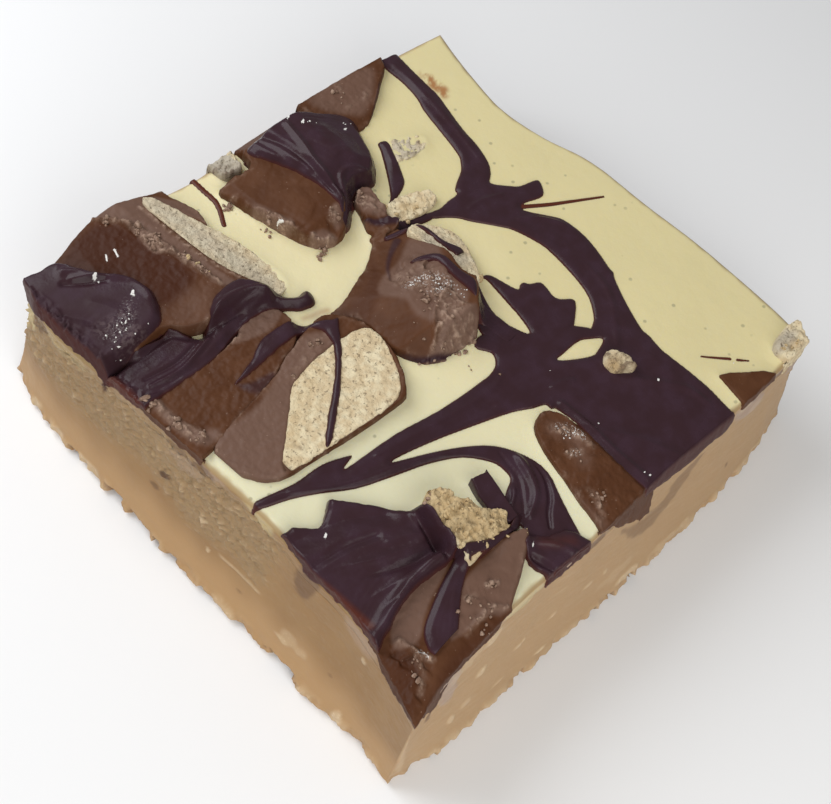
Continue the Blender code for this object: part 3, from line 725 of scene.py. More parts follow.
def chunk_form(x, y, shape):
    """Height above the topping, depth in from the edge and the tints. Inside the outline of a filling
    the height is kept under it."""
    outline, rise, seed, marks = shape["outline"], shape["rise"], shape["seed"], shape.get("marks", ())
    crag, grit, nibble = shape["crag"], shape["grit"], shape.get("nibble", 0.2)
    clean = inside(x, y, smooth(outline, 3), 2.5)
    depth = clean + nibble * grain(x, y, 0, 1.7, 3, seed)
    broken = 0.5 * chips(x, y, shape.get("chip", 2.6), seed) + 0.7 * noise(x / 4, y / 4, 0, seed + 9)
    height = planes(x, y, shape["facets"]) + crag * broken
    fine = grain(x, y, 0, 0.8, 3, seed + 4)
    crumbs = ramped(fine, -0.1, 0.5)
    worn = ramped(noise(x / 1.8, y / 1.8, 0, seed + 6), -0.2, 0.4)
    rim = shape.get("rim", 0.35) * (1 - ramped(depth, 0.15, 0.9)) * worn
    scuff = np.clip(marked(x, y, marks, "scuff", rise) + rim, 0, 1)
    film_and_shadow = np.clip(marked(x, y, marks, "film_and_shadow", rise), 0, 1)
    height = height + grit * fine + CRUMB_RISE * scuff * crumbs
    height = height + marked(x, y, marks, "lift", rise) + FILM_RISE * film_and_shadow
    flakes = 0.14 * grain(x, y, 0, 0.9, 3, 35) + 0.55 * chips(x, y, 1.5, 36)
    height = np.maximum(height + marked(x, y, marks, "rough", rise) * flakes, shape.get("least", -9.0))
    for name in shape.get("holds", ()):
        other = CHUNKS[name]
        within = ramped(inside(x, y, smooth(other["outline"], 3)), -0.1, 0.35)
        height = height + within * np.minimum(planes(x, y, other["facets"]) - UNDER_FILLING - height, 0)
    shoulder = shape.get("shoulder", SHOULDER)
    edge = np.clip(1 - depth / shoulder, 0, None)
    tints = {kind: np.clip(marked(x, y, marks, kind, rise), 0, 1) for kind in ("tone", "warm", "deep")}
    return {"height": height - shoulder * edge ** 2, "depth": clean, "scuff": scuff * (0.3 + 0.7 * crumbs),
            "film_and_shadow": film_and_shadow, "spark": np.clip(marked(x, y, marks, "spark", rise), 0, 2), **tints}


# Each chunk: finish, outline as packed, height that its marks were traced at, planes, roughness, and
# where it was cut through: the height of its lower edge along the front (by x) or the left side (by y).
CHUNKS = {
    "left_cup_shell": dict(
        finish="milk", rise=2.6, crag=0.14, grit=0.06, nibble=0.15, deep=4.5, holds=("left_cup_filling",),
        facets=((-22, 22, 2.5, 0.03, 0.0), (-27, 30, 2.0, 0.3, -0.08), (-16, 31, 2.2, -0.3, -0.1)),
        outline=((-29.5, 17.5), (-24.5, 17.4), (-22.3, 15.8), (-19.8, 14.9), (-15, 14.2), (-12, 13.6),
                 (-12.2, 19), (-11.8, 24), (-10.7, 28), (-11.6, 31), (-13, 34), (-19, 35), (-25, 35),
                 (-28.6, 33), (-30, 27)),
        marks=(
            ("deep", 1.0, 1.0, (
                (-30, 24), (-26, 26), (-22, 21), (-19, 20.5), (-16.4, 22), (-16.8, 26), (-17.8, 30),
                (-18.8, 33), (-21, 34.6), (-26, 33.5), (-31, 30))),
            ("tone", 1.0, 0.25, (
                (-20.5, 36), (-18.4, 33.6), (-17.9, 31), (-18.2, 28.4), (-17.8, 26.8), (-16.6, 26.4),
                (-16, 24), (-15.6, 21.6), (-15, 19), (-13.4, 18), (-14, 21), (-14.5, 25), (-15, 29),
                (-14.6, 32), (-13.6, 35.5))),
            ("tone", 0.9, 0.2, (
                (-13.5, 34.6), (-12.3, 34.3), (-11.3, 33.2), (-10.3, 31.9), (-9.7, 30), (-9.3, 28),
                (-9.1, 26.3), (-9.9, 27), (-10.5, 28.6), (-11.3, 30), (-12.8, 33.2))),
            ("deep", 0.7, 0.2, ((-13.2, 34.6, 0.4), (-11.4, 32.2, 0.4), (-10.2, 29, 0.35))),
            ("scuff", 1.0, 0.3, (
                (-20.5, 35.2, 0.2), (-19, 34, 0.3), (-18.1, 32.8, 0.35), (-17.5, 31.2, 0.45),
                (-17.1, 29, 0.8), (-17.2, 27.4, 0.7), (-16.2, 25.8, 0.35), (-15.8, 23.6, 0.4),
                (-15.3, 21.4, 0.3), (-14.8, 19, 0.2))),
            ("scuff", 1.0, 0.2, (
                (-15, 33.6, 0.2), (-14.8, 29.6, 0.25), (-14.4, 25.6, 0.25), (-13.7, 21.5, 0.2),
                (-12.5, 17.9, 0.15))),
            ("rough", 0.9, 0.3, (
                (-19.6, 34.4, 0.3), (-17.6, 31.2, 0.5), (-17.1, 28.2, 0.9), (-16.1, 25.2, 0.4),
                (-15.2, 20.6, 0.3))),
            ("lift", 0.35, 0.25, (
                (-20.5, 35.2, 0.15), (-19, 34, 0.25), (-17.5, 31.2, 0.35), (-17.1, 28.2, 0.7),
                (-16.1, 25.6, 0.3), (-15.6, 22.6, 0.3), (-14.9, 19.6, 0.2))),
            ("spark", 2.0, 0.08, ((-22.7, 29.6, 0.1), (-22.3, 30.3, 0.12))),
            ("spark", 2.0, 0.08, ((-21.4, 29.3, 0.1), (-21.1, 30.3, 0.13))),
            ("scuff", 0.8, 0.3, ((-20.4, 16.1, 0.15), (-19, 16.4, 0.2))),
            ("tone", 0.35, 1.5, ((-22, 19.5), (-16.4, 20.5), (-16.8, 17.6), (-20.4, 16.2))))),
    "back_chunk": dict(
        finish="milk", rise=2.4, crag=0.16, grit=0.03, nibble=0.4, deep=4.5,
        facets=((0, 24, 2.4, 0.04, -0.06), (-5.6, 24, 2.0, 0.7, 0.0), (0, 16, 2.0, 0.0, 0.5),
                (0, 31, 2.0, 0.0, -0.9)),
        outline=((-6.9, 29), (-6.6, 26.6), (-5.9, 23.5), (-4.6, 19), (-3.2, 15.9), (-1.5, 14.8), (0.8, 15.4),
                 (3.2, 18.6), (4.4, 23), (4.6, 28), (4, 35), (-1, 35), (-1.8, 29.2), (-4.4, 28.8)),
        marks=(
            ("tone", 0.9, 0.4, (
                (-5.6, 25.2), (-4, 25), (-3.4, 22.6), (-2.6, 20.6), (-4.4, 20.2), (-5.4, 22.6))),
            ("tone", 1.0, 0.3, ((-2.8, 17.8), (-0.6, 17.6), (0.4, 16), (-1.4, 15), (-2.6, 15.8))),
            ("tone", 0.8, 0.3, ((0.8, 17.2), (2.6, 19.4), (3.2, 18.6), (1.6, 16.8))),
            ("scuff", 0.9, 0.3, ((-6.2, 28.6, 0.4), (-5.2, 28.2, 0.3))),
            ("scuff", 0.9, 0.3, ((-4.8, 24.8, 0.4), (-4.2, 22.8, 0.6), (-3.4, 20.4, 0.4))),
            ("scuff", 0.9, 0.3, ((-2.2, 17.4, 0.6), (-1.4, 16, 0.7), (-0.2, 16.4, 0.4))),
            ("scuff", 0.9, 0.3, ((1.2, 18, 0.5), (2.2, 18.8, 0.5))),
            ("rough", 0.6, 0.5, ((-6, 28, 0.8), (-4.4, 23, 0.8), (-2, 16.8, 1.2), (1.6, 17.8, 1.0))),
            ("spark", 2.0, 0.08, ((-3.9, 21.9, 0.15), (-3.7, 21.3, 0.15))),
            # This dark stroke along the left edge is painted shadow under the undercut.
            ("deep", 0.9, 0.4, ((-6.6, 26, 0.5), (-5.8, 22, 0.6), (-4.4, 18.6, 0.6), (-2.9, 16, 0.4))),
            ("lift", 0.25, 0.3, ((-4.8, 24.8, 0.5), (-4.2, 22.8, 0.6), (-3.4, 20.4, 0.5))))),
    "back_right_chunk": dict(
        finish="milk", rise=0.9, crag=0.12, grit=0.08, deep=4.0,
        facets=((14, 30, 1.0, 0.0, 0.03), (12, 27, 0.7, 0.0, 0.3)),
        outline=((10, 35), (9.4, 29), (10.6, 26.4), (13.5, 25.8), (16, 27), (20.2, 30), (22.4, 32),
                 (22, 35)),
        marks=(
            ("tone", 0.8, 0.6, ((11.4, 31.6), (14, 28.4), (16, 28), (20, 31), (20.6, 33.4), (12, 34))),
            ("scuff", 0.6, 0.4, ((15.4, 32.4, 0.4), (15.8, 33.4, 0.3))),
            ("scuff", 0.4, 0.5, ((14.4, 29.6, 0.3), (18, 30, 0.4))),
            # A dark line along the near lower edge: painted shadow in the gap under it.
            ("film_and_shadow", 0.8, 0.15, ((15.4, 26.6, 0.05), (17.4, 28, 0.14), (20.4, 30.4, 0.08))))),
    "middle_cup_shell": dict(
        finish="milk", rise=3.6, crag=0.12, grit=0.03, nibble=0.25, deep=4.5, chip=2.0,
        holds=("middle_cup_filling",),
        facets=((-3, 9.4, 0.9, 0.12, -0.36), (-6, 2, 1.3, 0.42, -0.05), (3.4, 4, 3.7, 0.06, 0.03),
                (1.6, -3, 3.0, 0.1, 1.4), (6.4, -2, 2.4, -0.9, 0.9), (-4.4, -2, 1.6, 0.5, 0.6)),
        outline=((-6.2, 0.6), (-5.6, -1.6), (-4.4, -3.6), (-2.6, -4.8), (0, -6), (2.4, -5.2), (4.4, -3),
                 (6.2, -1), (7.8, 2.2), (8.4, 5.6), (7.6, 8.6), (5.8, 11.2), (4.6, 13), (3.2, 13.4),
                 (1.8, 11.8), (-0.2, 10.4), (-2.6, 9.4), (-5, 8.4), (-6.8, 8), (-8.6, 8.6), (-8.2, 7.6),
                 (-6.8, 5.6), (-6.2, 3.4)),
        marks=(
            ("tone", 0.9, 0.4, (
                (-1, 7.2), (1, 8.8), (4, 9.2), (6.6, 10.6), (8.4, 10.8), (8.8, 8), (7.6, 5.6), (6.6, 2.5),
                (6.4, 0), (4, -0.4), (1, -0.2), (0, 2), (0.4, 4.5))),
            ("tone", 1.0, 0.3, (
                (-2.8, -2.8), (0, -1.6), (2.4, -0.4), (5, -0.8), (6.2, -2), (3.4, -5), (0.6, -6.8),
                (-1.6, -5.8))),
            ("scuff", 0.45, 0.8, (
                (1.1, 6.9), (2.4, 8.2), (4.8, 7.4), (6.2, 4.8), (5.7, 2.1), (3.6, 1.8), (2.6, 3.4))),
            ("scuff", 0.7, 0.5, (
                (5.5, 2.4), (1.9, 1.1), (-0.3, -1.7), (-1, -4.2), (1.3, -6.4), (4.8, -3.5))),
            ("rough", 0.8, 0.4, (
                (1.1, 6.9), (2, 8.4), (6, 8.6), (6.8, 5), (5.7, 2.1), (3, 1.8), (1.9, 3.4))),
            ("rough", 0.45, 0.4, (
                (5.5, 2.2), (1.8, 1.1), (-0.4, -1.7), (-1, -4.2), (1.3, -6.4), (4.8, -3.5))),
            ("lift", 0.3, 0.25, ((5.4, 2.2, 0.15), (1.8, 1.1, 0.25), (-0.5, -1.7, 0.2))),
            # A dark stroke with a groove along the lower front edge: painted shadow under the undercut.
            ("film_and_shadow", 1.0, 0.2, (
                (-4.1, 0.25, 0.05), (-2.65, -1.8, 0.25), (-0.9, -2.9, 0.3), (1.2, -3.6, 0.15))),
            ("lift", -0.5, 0.25, (
                (-4.1, 0.25, 0.05), (-2.65, -1.8, 0.2), (-0.9, -2.9, 0.25), (1.2, -3.6, 0.1))),
            ("spark", 0.6, 0.5, (
                (1.6, 5.6, 0.2), (3.2, 5.2, 0.6), (4.8, 4, 0.7), (5.6, 2.4, 0.4), (6, 0.6, 0.1))),
            ("spark", 0.5, 0.5, ((3, 3.2, 0.2), (4.4, 2.6, 0.6), (5, 1.8, 0.3))),
            ("scuff", 0.9, 0.25, ((-2.6, -2.6, 0.15), (0, -1.4, 0.25), (2.4, -0.3, 0.3), (5, -0.6, 0.3))),
            ("scuff", 0.8, 0.3, ((-1.6, -4.9, 0.3), (0.6, -5.9, 0.4), (3, -5.2, 0.3))),
            ("scuff", 0.5, 0.6, ((-0.6, -4, 0.5), (2, -3, 0.6))),
            ("film_and_shadow", 0.8, 0.25, ((6.2, 11.8, 0.5), (4.2, 10.8, 0.3), (2.4, 9.4, 0.2), (1.4, 8, 0.05))),
            ("deep", 0.5, 0.8, (
                (-9, 8.6), (-6, 8.2), (-2, 9.4), (1, 10.8), (3, 13), (0, 8), (-4, 6), (-7.4, 6.6))))),
    "upper_chunk": dict(
        finish="milk", rise=1.6, crag=0.4, grit=0.08, nibble=0.6, deep=3.0, chip=1.2,
        facets=((5.6, 17, 1.5, 0.05, 0.05), (3, 14, 0.9, 0.5, 0.0)),
        outline=((2.2, 12), (3, 14), (3.7, 15.6), (4.3, 17.4), (5.2, 18.4), (6.8, 18.2), (7, 16.6),
                 (6.7, 15), (6.2, 13.6), (6.6, 12.4), (5, 11.6), (3, 11.4)),
        marks=(
            ("tone", 1.0, 0.4, ((4.8, 17.4), (5.4, 19.8), (8.2, 19.6), (8, 15.6), (7, 14.6), (5.6, 15.6))),
            ("scuff", 0.8, 0.4, ((5.6, 18.4, 0.8), (6.8, 16.4, 0.8))),
            ("rough", 0.7, 0.5, ((5.2, 18.6, 1.0), (6.8, 16, 1.0))),
            ("film_and_shadow", 1.0, 0.3, ((4.4, 15.6, 0.2), (5.4, 14.4, 0.5), (6.8, 13.6, 0.6), (8, 13, 0.5))))),
    "lower_cup_shell": dict(
        finish="milk", rise=1.1, crag=0.14, grit=0.08, deep=4.5, holds=("lower_cup_filling",),
        facets=((-20, 0, 1.15, 0.03, 0.02),),
        outline=((-29.4, 1), (-28.4, -1.8), (-26, -4.2), (-20, -4.9), (-11, -5.6), (-8.4, -4.8), (-6.2, 0),
                 (-6.6, 4.6), (-8, 6.9), (-10.6, 8), (-14.4, 7), (-19, 5.4), (-24, 4.3), (-28.4, 3.4)),
        marks=(
            ("tone", 1.0, 0.4, (
                (-29.6, 1), (-28, 4), (-21, 4.4), (-16, 7), (-12, 7.6), (-9.8, 6), (-10.4, 4.6), (-16, 3.2),
                (-19, 1.4), (-22, -1.4), (-25, -4), (-28.4, -2.4))),
            ("scuff", 0.35, 0.5, ((-16.6, 4.6, 0.4), (-14, 5.4, 0.6), (-12, 6.2, 0.5), (-10.2, 6.2, 0.3))),
            ("scuff", 0.5, 0.4, ((-28.8, 4, 0.5), (-29.6, 2, 0.6))))),
    "edge_chunk": dict(
        finish="milk", rise=0.8, crag=0.15, grit=0.1, deep=4.5, facets=((-24, 8, 0.95, 0.0, 0.0),),
        foot=dict(
            left=((-1, 16.8), (1, 16.2), (2.5, 15.8), (4, 16.3), (6, 16), (8, 16.2), (9.5, 16.5),
                  (12, 16.6))),
        outline=((-36, 3.6), (-28.8, 3.1), (-24, 4), (-19, 5.2), (-14.4, 7), (-12.4, 9.2), (-12.4, 11.8),
                 (-14.4, 13), (-17, 13), (-19, 11.9), (-24, 11.5), (-36, 11.5)),
        marks=(
            ("tone", 1.0, 0.3, (
                (-19, 12), (-18, 13.2), (-13, 13.4), (-11.8, 12), (-14, 10.8), (-16.4, 11))),
            ("scuff", 0.9, 0.3, ((-20, 11.9, 0.08), (-18.8, 12.3, 0.3), (-18, 12.8, 0.35))),
            ("tone", 1.0, 0.4, ((-30, 12.4, 0.5), (-29.9, 8, 0.6), (-29, 5, 0.8), (-27.6, 4.6, 0.6))),
            ("scuff", 0.8, 0.4, ((-30.1, 12, 0.5), (-29.9, 8, 0.5), (-29, 5.4, 0.7))),
            ("lift", 0.3, 0.4, ((-30.3, 12, 0.5), (-30, 8, 0.5), (-29, 5.4, 0.6))),
            ("film_and_shadow", 0.7, 0.4, ((-22, 7.6), (-20.6, 6.8), (-18, 6.4), (-18.6, 5.4), (-21, 5.2))))),
    "corner_chunk": dict(
        finish="milk", rise=0.9, crag=0.2, grit=0.05, deep=4.8, least=0.3,
        facets=((-20, -26, 1.3, 0.03, 0.03), (-29, -27, 0.7, 0.1, 0.0), (-24, -29, 0.9, -0.02, 0.3)),
        foot=dict(
            left=((-33, 16.2), (-31, 16), (-29.5, 15.6), (-28, 15.4), (-26, 15.2), (-24.5, 16.5)),
            front=((-33, 16.6), (-31.8, 15.6), (-31, 13.2), (-30, 12.4), (-29.2, 9.8), (-28.6, 10.6),
                   (-27.8, 13.6), (-27, 15.4), (-24, 15.1), (-21, 15.2), (-19.4, 15.8), (-18, 16.6))),
        outline=((-36, -36), (-36, -24.2), (-29.6, -23), (-24, -21.4), (-19.2, -21.4), (-16.6, -23.2),
                 (-10.8, -24.9), (-11.4, -26.4), (-14.4, -28.4), (-18.4, -31), (-19, -36)),
        marks=(
            ("tone", 0.9, 0.25, (
                (-24.5, -28.5), (-22.5, -26.4), (-20, -25.2), (-17, -24.6), (-10, -24.6), (-9.6, -25.6),
                (-11.3, -26.3), (-13, -27.6), (-18, -30), (-20, -29))),
            ("tone", 1.0, 0.25, (
                (-29.2, -25.2), (-28, -23.4), (-25.5, -21.8), (-22, -21.6), (-19, -22.4), (-23, -24),
                (-25, -25), (-26.5, -26.1), (-28, -26.2))),
            ("scuff", 1.0, 0.25, ((-20.4, -26.4, 0.25), (-19.4, -26.7, 0.25))),
            ("scuff", 1.0, 0.25, ((-17.6, -26.8, 0.3), (-16.6, -27.2, 0.25))),
            ("scuff", 0.9, 0.3, (
                (-22.8, -29, 0.2), (-20.4, -28.7, 0.3), (-18.6, -28.9, 0.3), (-17.6, -29.7, 0.2))),
            ("scuff", 0.7, 0.3, (
                (-28.4, -25, 0.3), (-28, -26.6, 0.3), (-28.8, -28.8, 0.3), (-30.4, -30.2, 0.3))),
            ("lift", 0.25, 0.3, (
                (-22.8, -29, 0.2), (-20.4, -28.7, 0.3), (-18.6, -28.9, 0.3), (-17.6, -29.7, 0.2))),
            ("rough", 0.8, 0.6, (
                (-30, -24.6), (-28, -26), (-27.6, -28.6), (-29, -30), (-33, -32), (-33, -26))),
            ("rough", 0.4, 0.6, ((-20, -25.6), (-18, -26), (-17, -28), (-20, -28.4))),
            ("deep", 0.5, 0.6, (
                (-33, -33), (-28, -30.4), (-24, -29.6), (-17.6, -30), (-18, -32), (-26, -33))),
            ("deep", 0.6, 0.8, ((-31, -25), (-29, -25.4), (-28.6, -28), (-30.4, -29.6), (-33, -31))),
            ("spark", 1.3, 0.1, ((-27.9, -27, 0.1), (-27.5, -27.6, 0.22), (-27.3, -28.2, 0.12))),
            ("scuff", 1.0, 0.2, ((-28.2, -27.2, 0.2), (-27.2, -28.6, 0.35))),
            ("lift", 0.3, 0.3, ((-28.4, -25, 0.3), (-28, -27, 0.3), (-28.8, -28.8, 0.2))))),
    "front_chunk": dict(
        finish="milk", rise=0.7, crag=0.2, grit=0.12, deep=6.0,
        facets=((0, -25, 0.85, 0.0, 0.0), (2.8, -25, 0.8, -0.9, 0.0)),
        foot=dict(
            front=((-4.5, 16.5), (-2.5, 16.2), (-1.5, 14.5), (-0.5, 13), (1.5, 11), (3, 9.9), (4, 9.1),
                   (5, 9.2), (6.5, 8.6), (7.5, 10), (8.5, 12), (9.5, 13.3))),
        outline=((-3.7, -36), (-3.8, -28.4), (-2.8, -24), (-2, -20), (-0.6, -17.2), (1.6, -16.6), (3, -18.6),
                 (4.6, -22), (8, -27), (9.6, -36)),
        marks=(
            ("scuff", 0.9, 0.35, ((-1.5, -26.4, 0.25), (-1.8, -28, 0.4), (-2.6, -29.4, 0.3))),
            ("scuff", 0.9, 0.5, ((1, -18.6, 0.3), (2, -19.8, 0.5), (2.6, -21.4, 0.4), (2.8, -23, 0.2))),
            # The pale spots here are painted glints.
            ("spark", 0.8, 0.5, ((1.4, -18.8, 0.3), (2.4, -20, 0.5), (2.8, -21.4, 0.4))),
            ("scuff", 0.9, 0.3, ((0, -22, 0.4), (1.2, -22.6, 0.4))),
            ("spark", 0.8, 0.3, ((0.2, -22, 0.3), (1, -22.5, 0.3))),
            ("tone", 0.7, 1.2, ((1, -18.6, 0.6), (2, -21, 0.8), (0.6, -23.6, 0.6))),
            ("tone", 0.5, 0.6, ((-3.6, -24, 0.5), (-3.4, -28, 0.6), (-3.4, -30, 0.6))))),
    "flush_chunk": dict(
        finish="milk", rise=0.35, crag=0.05, grit=0.04, deep=3.0, nibble=0.08, rim=0.1,
        facets=((23, -29, 0.35, 0.0, 0.0),), foot=dict(front=((20, 15.6), (28, 15.6))),
        outline=((20.4, -36), (20.6, -27.6), (21.4, -26.6), (24, -28.4), (26.4, -30.6), (27, -36))),
    "left_cup_filling": dict(
        finish="filling", rise=1.5, crag=0.1, grit=0.16, deep=4.5, shoulder=0.12, nibble=0.12, rim=0.0,
        facets=((-12.2, 22, 1.3, -0.34, 0.02),),
        outline=((-15.6, 32), (-14.2, 32.2), (-12.9, 29.4), (-11.8, 27), (-10.7, 24.5), (-9.8, 22),
                 (-9.2, 19.4), (-8.8, 17), (-9, 14.2), (-11.4, 13.6), (-13.2, 16.6), (-14.4, 20), (-15, 24),
                 (-15.4, 28)),
        marks=(("tone", 0.6, 1.5, ((-14, 32, 1.5), (-12, 23, 1.6), (-10.6, 16, 1.4))),)),
    "middle_cup_filling": dict(
        finish="filling", rise=1.8, crag=0.15, grit=0.14, deep=4.0, shoulder=0.15, nibble=0.15, rim=0.0,
        facets=((7.8, 5, 2.1, -0.35, 0.0),),
        outline=((5.4, 9.6), (7.4, 10.2), (9.8, 8.2), (10.6, 6), (9.8, 3.4), (8.4, 0.8), (7, -0.4), (6, 1.6),
                 (6.6, 5)),
        marks=(("tone", 0.6, 1.0, ((8, 8, 1.5), (9, 4, 1.2))),)),
    "lower_cup_filling": dict(
        finish="filling", rise=1.1, crag=0.1, grit=0.16, deep=4.5, shoulder=0.15, nibble=0.15, rim=0.0,
        facets=((-15, 0, 1.25, 0.02, 0.02),),
        outline=((-25.2, -3.9), (-22.3, -0.8), (-19.8, 1.5), (-17.4, 3.5), (-12, 4.4), (-6.8, 3.8),
                 (-6.3, 1), (-7.6, -2.4), (-9, -4.6), (-11, -5.4), (-16, -5.1), (-21, -4.7)),
        marks=(
            ("warm", 0.3, 1.2, ((-23, -2.4, 0.6), (-19, 1.4, 0.6), (-14, 3.8, 0.5))),
            ("scuff", 0.6, 0.25, ((-22, -1.9, 0.25), (-21.8, -2.6, 0.2))))),
    "upper_crumb": dict(
        finish="filling", rise=1.0, crag=0.3, grit=0.3, deep=3.0, rim=0.0,
        facets=((9, 13.4, 0.9, 0.0, 0.0),),
        outline=((5.2, 13.6), (8.2, 11.8), (11.6, 11.6), (13, 12.6), (11.6, 14.4), (8.4, 15.2), (6.2, 15)),
        marks=(("warm", 0.4, 0.8, ((9.6, 13.6, 0.8), (11.6, 13, 0.6))),)),
    "standing_crumb": dict(
        finish="filling", rise=3.2, crag=0.6, grit=0.5, deep=3.0, nibble=0.6, chip=1.1, rim=0.0,
        facets=((-16, -18, 4.0, -0.3, 0.2), (-15.4, -19, 4.1, 0.0, 0.0), (-13, -23, 2.8, -0.12, 0.55)),
        outline=((-18.3, -24.3), (-18.1, -22), (-17.9, -19.5), (-17.8, -17.2), (-17, -16.2), (-15.7, -16.4),
                 (-14.8, -17.2), (-14.3, -18.4), (-13.6, -19.4), (-13, -20.6), (-11.9, -21.4),
                 (-10.6, -22.4), (-11, -23.6), (-12.6, -24), (-14.4, -24), (-16.2, -24.6)),
        marks=(
            ("warm", 0.7, 1.2, ((-14.6, -16, 3.5), (-14, -21, 3.0), (-11, -22.4, 3.0))),
            ("scuff", 0.9, 0.25, ((-16.6, -14.2, 0.3), (-16.2, -15.6, 0.3))),
            ("scuff", 0.9, 0.3, ((-14, -20.4, 0.3), (-13.6, -20.8, 0.3))))),
    "corner_crumb": dict(
        finish="filling", rise=1.4, crag=0.7, grit=0.4, deep=2.6, facets=((31, -29, 1.5, 0.0, 0.0),),
        outline=((28.4, -30.6), (28.6, -28.4), (31, -27.6), (33.4, -28), (33.2, -30.4), (33, -33),
                 (29, -33)),
        marks=(
            ("tone", 0.8, 0.6, ((29, -28.4, 0.8), (32, -28.4, 0.8))),
            ("scuff", 0.9, 0.3, ((30.4, -29.6, 0.3), (31.6, -29, 0.3))))),
    "pool_crumb": dict(
        finish="filling", rise=1.7, crag=0.5, grit=0.3, deep=2.6, facets=((12.4, -18, 1.1, 0.2, -0.1),),
        outline=((11, -17), (12.6, -16), (13.8, -17.2), (13.9, -18.8), (13.4, -19.8), (12.2, -19),
                 (11.2, -18.2)),
        marks=(
            ("scuff", 1.0, 0.4, ((11, -16.6, 2.5), (13, -19, 2.5))),
            ("warm", 0.7, 0.6, ((12.8, -17.6, 1.0),) * 2))),
    "pale_crumb": dict(
        finish="filling", rise=1.7, crag=0.5, grit=0.4, deep=2.6, facets=((-4, 31.4, 1.3, 0.0, -0.2),),
        outline=((-5.6, 35), (-5.6, 32.4), (-5, 30), (-2.8, 29.8), (-2.2, 32.4), (-2.2, 35)),
        marks=(
            ("tone", 1.0, 1.0, ((-4, 32, 3),) * 2),
            ("scuff", 0.6, 0.8, ((-5, 32, 1.6), (-4, 30.6, 1.6))))),
    "sunk_crumb": dict(
        finish="filling", rise=0.4, crag=0.2, grit=0.35, deep=2.4, facets=((15.4, 20.4, 0.2, 0.0, 0.0),),
        outline=((12.8, 19.4), (17, 18.8), (18.6, 20.2), (17, 21.6), (15, 22.4), (13.4, 21)),
        marks=(
            ("tone", 0.7, 1.0, ((15.6, 20.6, 2),) * 2),
            ("scuff", 0.9, 0.25, ((15.6, 19.7, 0.35), (15.9, 19.8, 0.3))),
            ("scuff", 0.9, 0.25, ((17.2, 20.4, 0.3), (17.5, 20.2, 0.3))))),
    "dark_shard": dict(
        finish="dark", rise=2.0, crag=0.06, grit=0.02, deep=2.4, nibble=0.04, rim=0.0, shoulder=0.12,
        facets=((-11, -18.6, 1.7, 0.0, 0.12),),
        outline=sighted(((-10.4, -17.3), (-10.2, -17.15), (-8.5, -17.6), (-8.35, -17.8), (-9.2, -23.1),
                         (-9.4, -23.4), (-10.3, -23.5), (-11.1, -22.1), (-11.2, -21.9), (-11.25, -19.7),
                         (-11.2, -19.4)), 1.5)),
}
for number, shape in enumerate(CHUNKS.values()):
    shape["seed"] = number * 3
print(len(CHUNKS), "pressed-in pieces")

# %% [markdown]
# ## The ground that pours run over
#
# Chocolate that was drizzled over cream and cups alike drapes over whatever it meets. The heights of
# everything under it are therefore read once into a raster, a little blurred, because a thick pour
# bridges small cracks. A piece then reads the raster between its points.

# %% Raster
RASTER_STEP, RASTER_HALF = 0.15, 38.0
ruler = np.arange(-RASTER_HALF, RASTER_HALF + RASTER_STEP / 2, RASTER_STEP)
raster_x, raster_y = np.meshgrid(ruler, ruler)


def blurred(field, radius):
    """The field averaged with bell-shaped weights, along x and then along y."""
    reach = int(3 * radius / RASTER_STEP)
    weights = np.exp(-0.5 * (np.arange(-reach, reach + 1) * RASTER_STEP / radius) ** 2)
    for axis in (0, 1):
        padded = np.pad(field, [(reach, reach) if n == axis else (0, 0) for n in (0, 1)], "edge")
        field = sum(weight * np.take(padded, np.arange(n, n + len(ruler)), axis)
                    for n, weight in enumerate(weights / weights.sum()))
    return field


def read_raster(field, x, y):
    """The raster between its four nearest points, weighted by nearness."""
    px = np.clip((x + RASTER_HALF) / RASTER_STEP, 0, len(ruler) - 1.001)
    py = np.clip((y + RASTER_HALF) / RASTER_STEP, 0, len(ruler) - 1.001)
    i, j = px.astype(int), py.astype(int)
    a, b = px - i, py - j
    return ((field[j, i] * (1 - a) + field[j, i + 1] * a) * (1 - b)
            + (field[j + 1, i] * (1 - a) + field[j + 1, i + 1] * a) * b)


chunk_top = np.full(raster_x.shape, -9.0)
chunk_edge = np.full(raster_x.shape, -2.5)
for shape in CHUNKS.values():
    form = chunk_form(raster_x, raster_y, shape)
    near = form["depth"] > -1.5
    chunk_top[near] = np.maximum(chunk_top, form["height"])[near]
    chunk_edge = np.maximum(chunk_edge, form["depth"])


def cream_rise(x, y):
    """Height of the cream over the topping's level: long soft waves, and a swell where it was pushed
    up against a chunk, fading by the distance from it."""
    waves = 0.14 * noise(x / 9, y / 9, 0, 2) + 0.03 * noise(x / 2.5, y / 2.5, 0, 3)
    return waves + 0.32 * np.exp(np.minimum(read_raster(chunk_edge, x, y), 0) / 0.8) - 0.15


ground = np.maximum(chunk_top, cream_rise(raster_x, raster_y))
draped = blurred(ground, 0.4)
print("ground from", round(ground.min(), 2), "to", round(ground.max(), 2), "mm above the topping")

# %% Make the chunks
CHUNK_STEP = 0.13
TUCK = 0.75  # how much of its way out a wall's foot is drawn back in, which makes the wall steep
CHUNK_TINTS = ("scuff", "tone", "film_and_shadow", "warm", "deep", "spark")
LOWEST, FARTHEST = -1.3, -1.4  # a chunk's cells end this far below the topping or out from its edge


def proud(depth, by=0.15):
    """How far a cut wall stands out from the slab's side, and less where it is past the piece's edge."""
    return by - 2 * np.clip(-depth, 0, 0.4)


def wall_tuck(x, y, depth):
    """Moves points outside an edge back towards it, along the way in which the depth grows."""
    rows = np.gradient(depth)
    x_rows, y_rows = np.gradient(x), np.gradient(y)
    area = x_rows[1] * y_rows[0] - x_rows[0] * y_rows[1]
    gx = (rows[1] * y_rows[0] - rows[0] * y_rows[1]) / area
    gy = (rows[0] * x_rows[1] - rows[1] * x_rows[0]) / area
    size = np.maximum(np.hypot(gx, gy), 0.5)
    back = TUCK * np.clip(-depth, 0, 1.5)
    return gx / size * back, gy / size * back


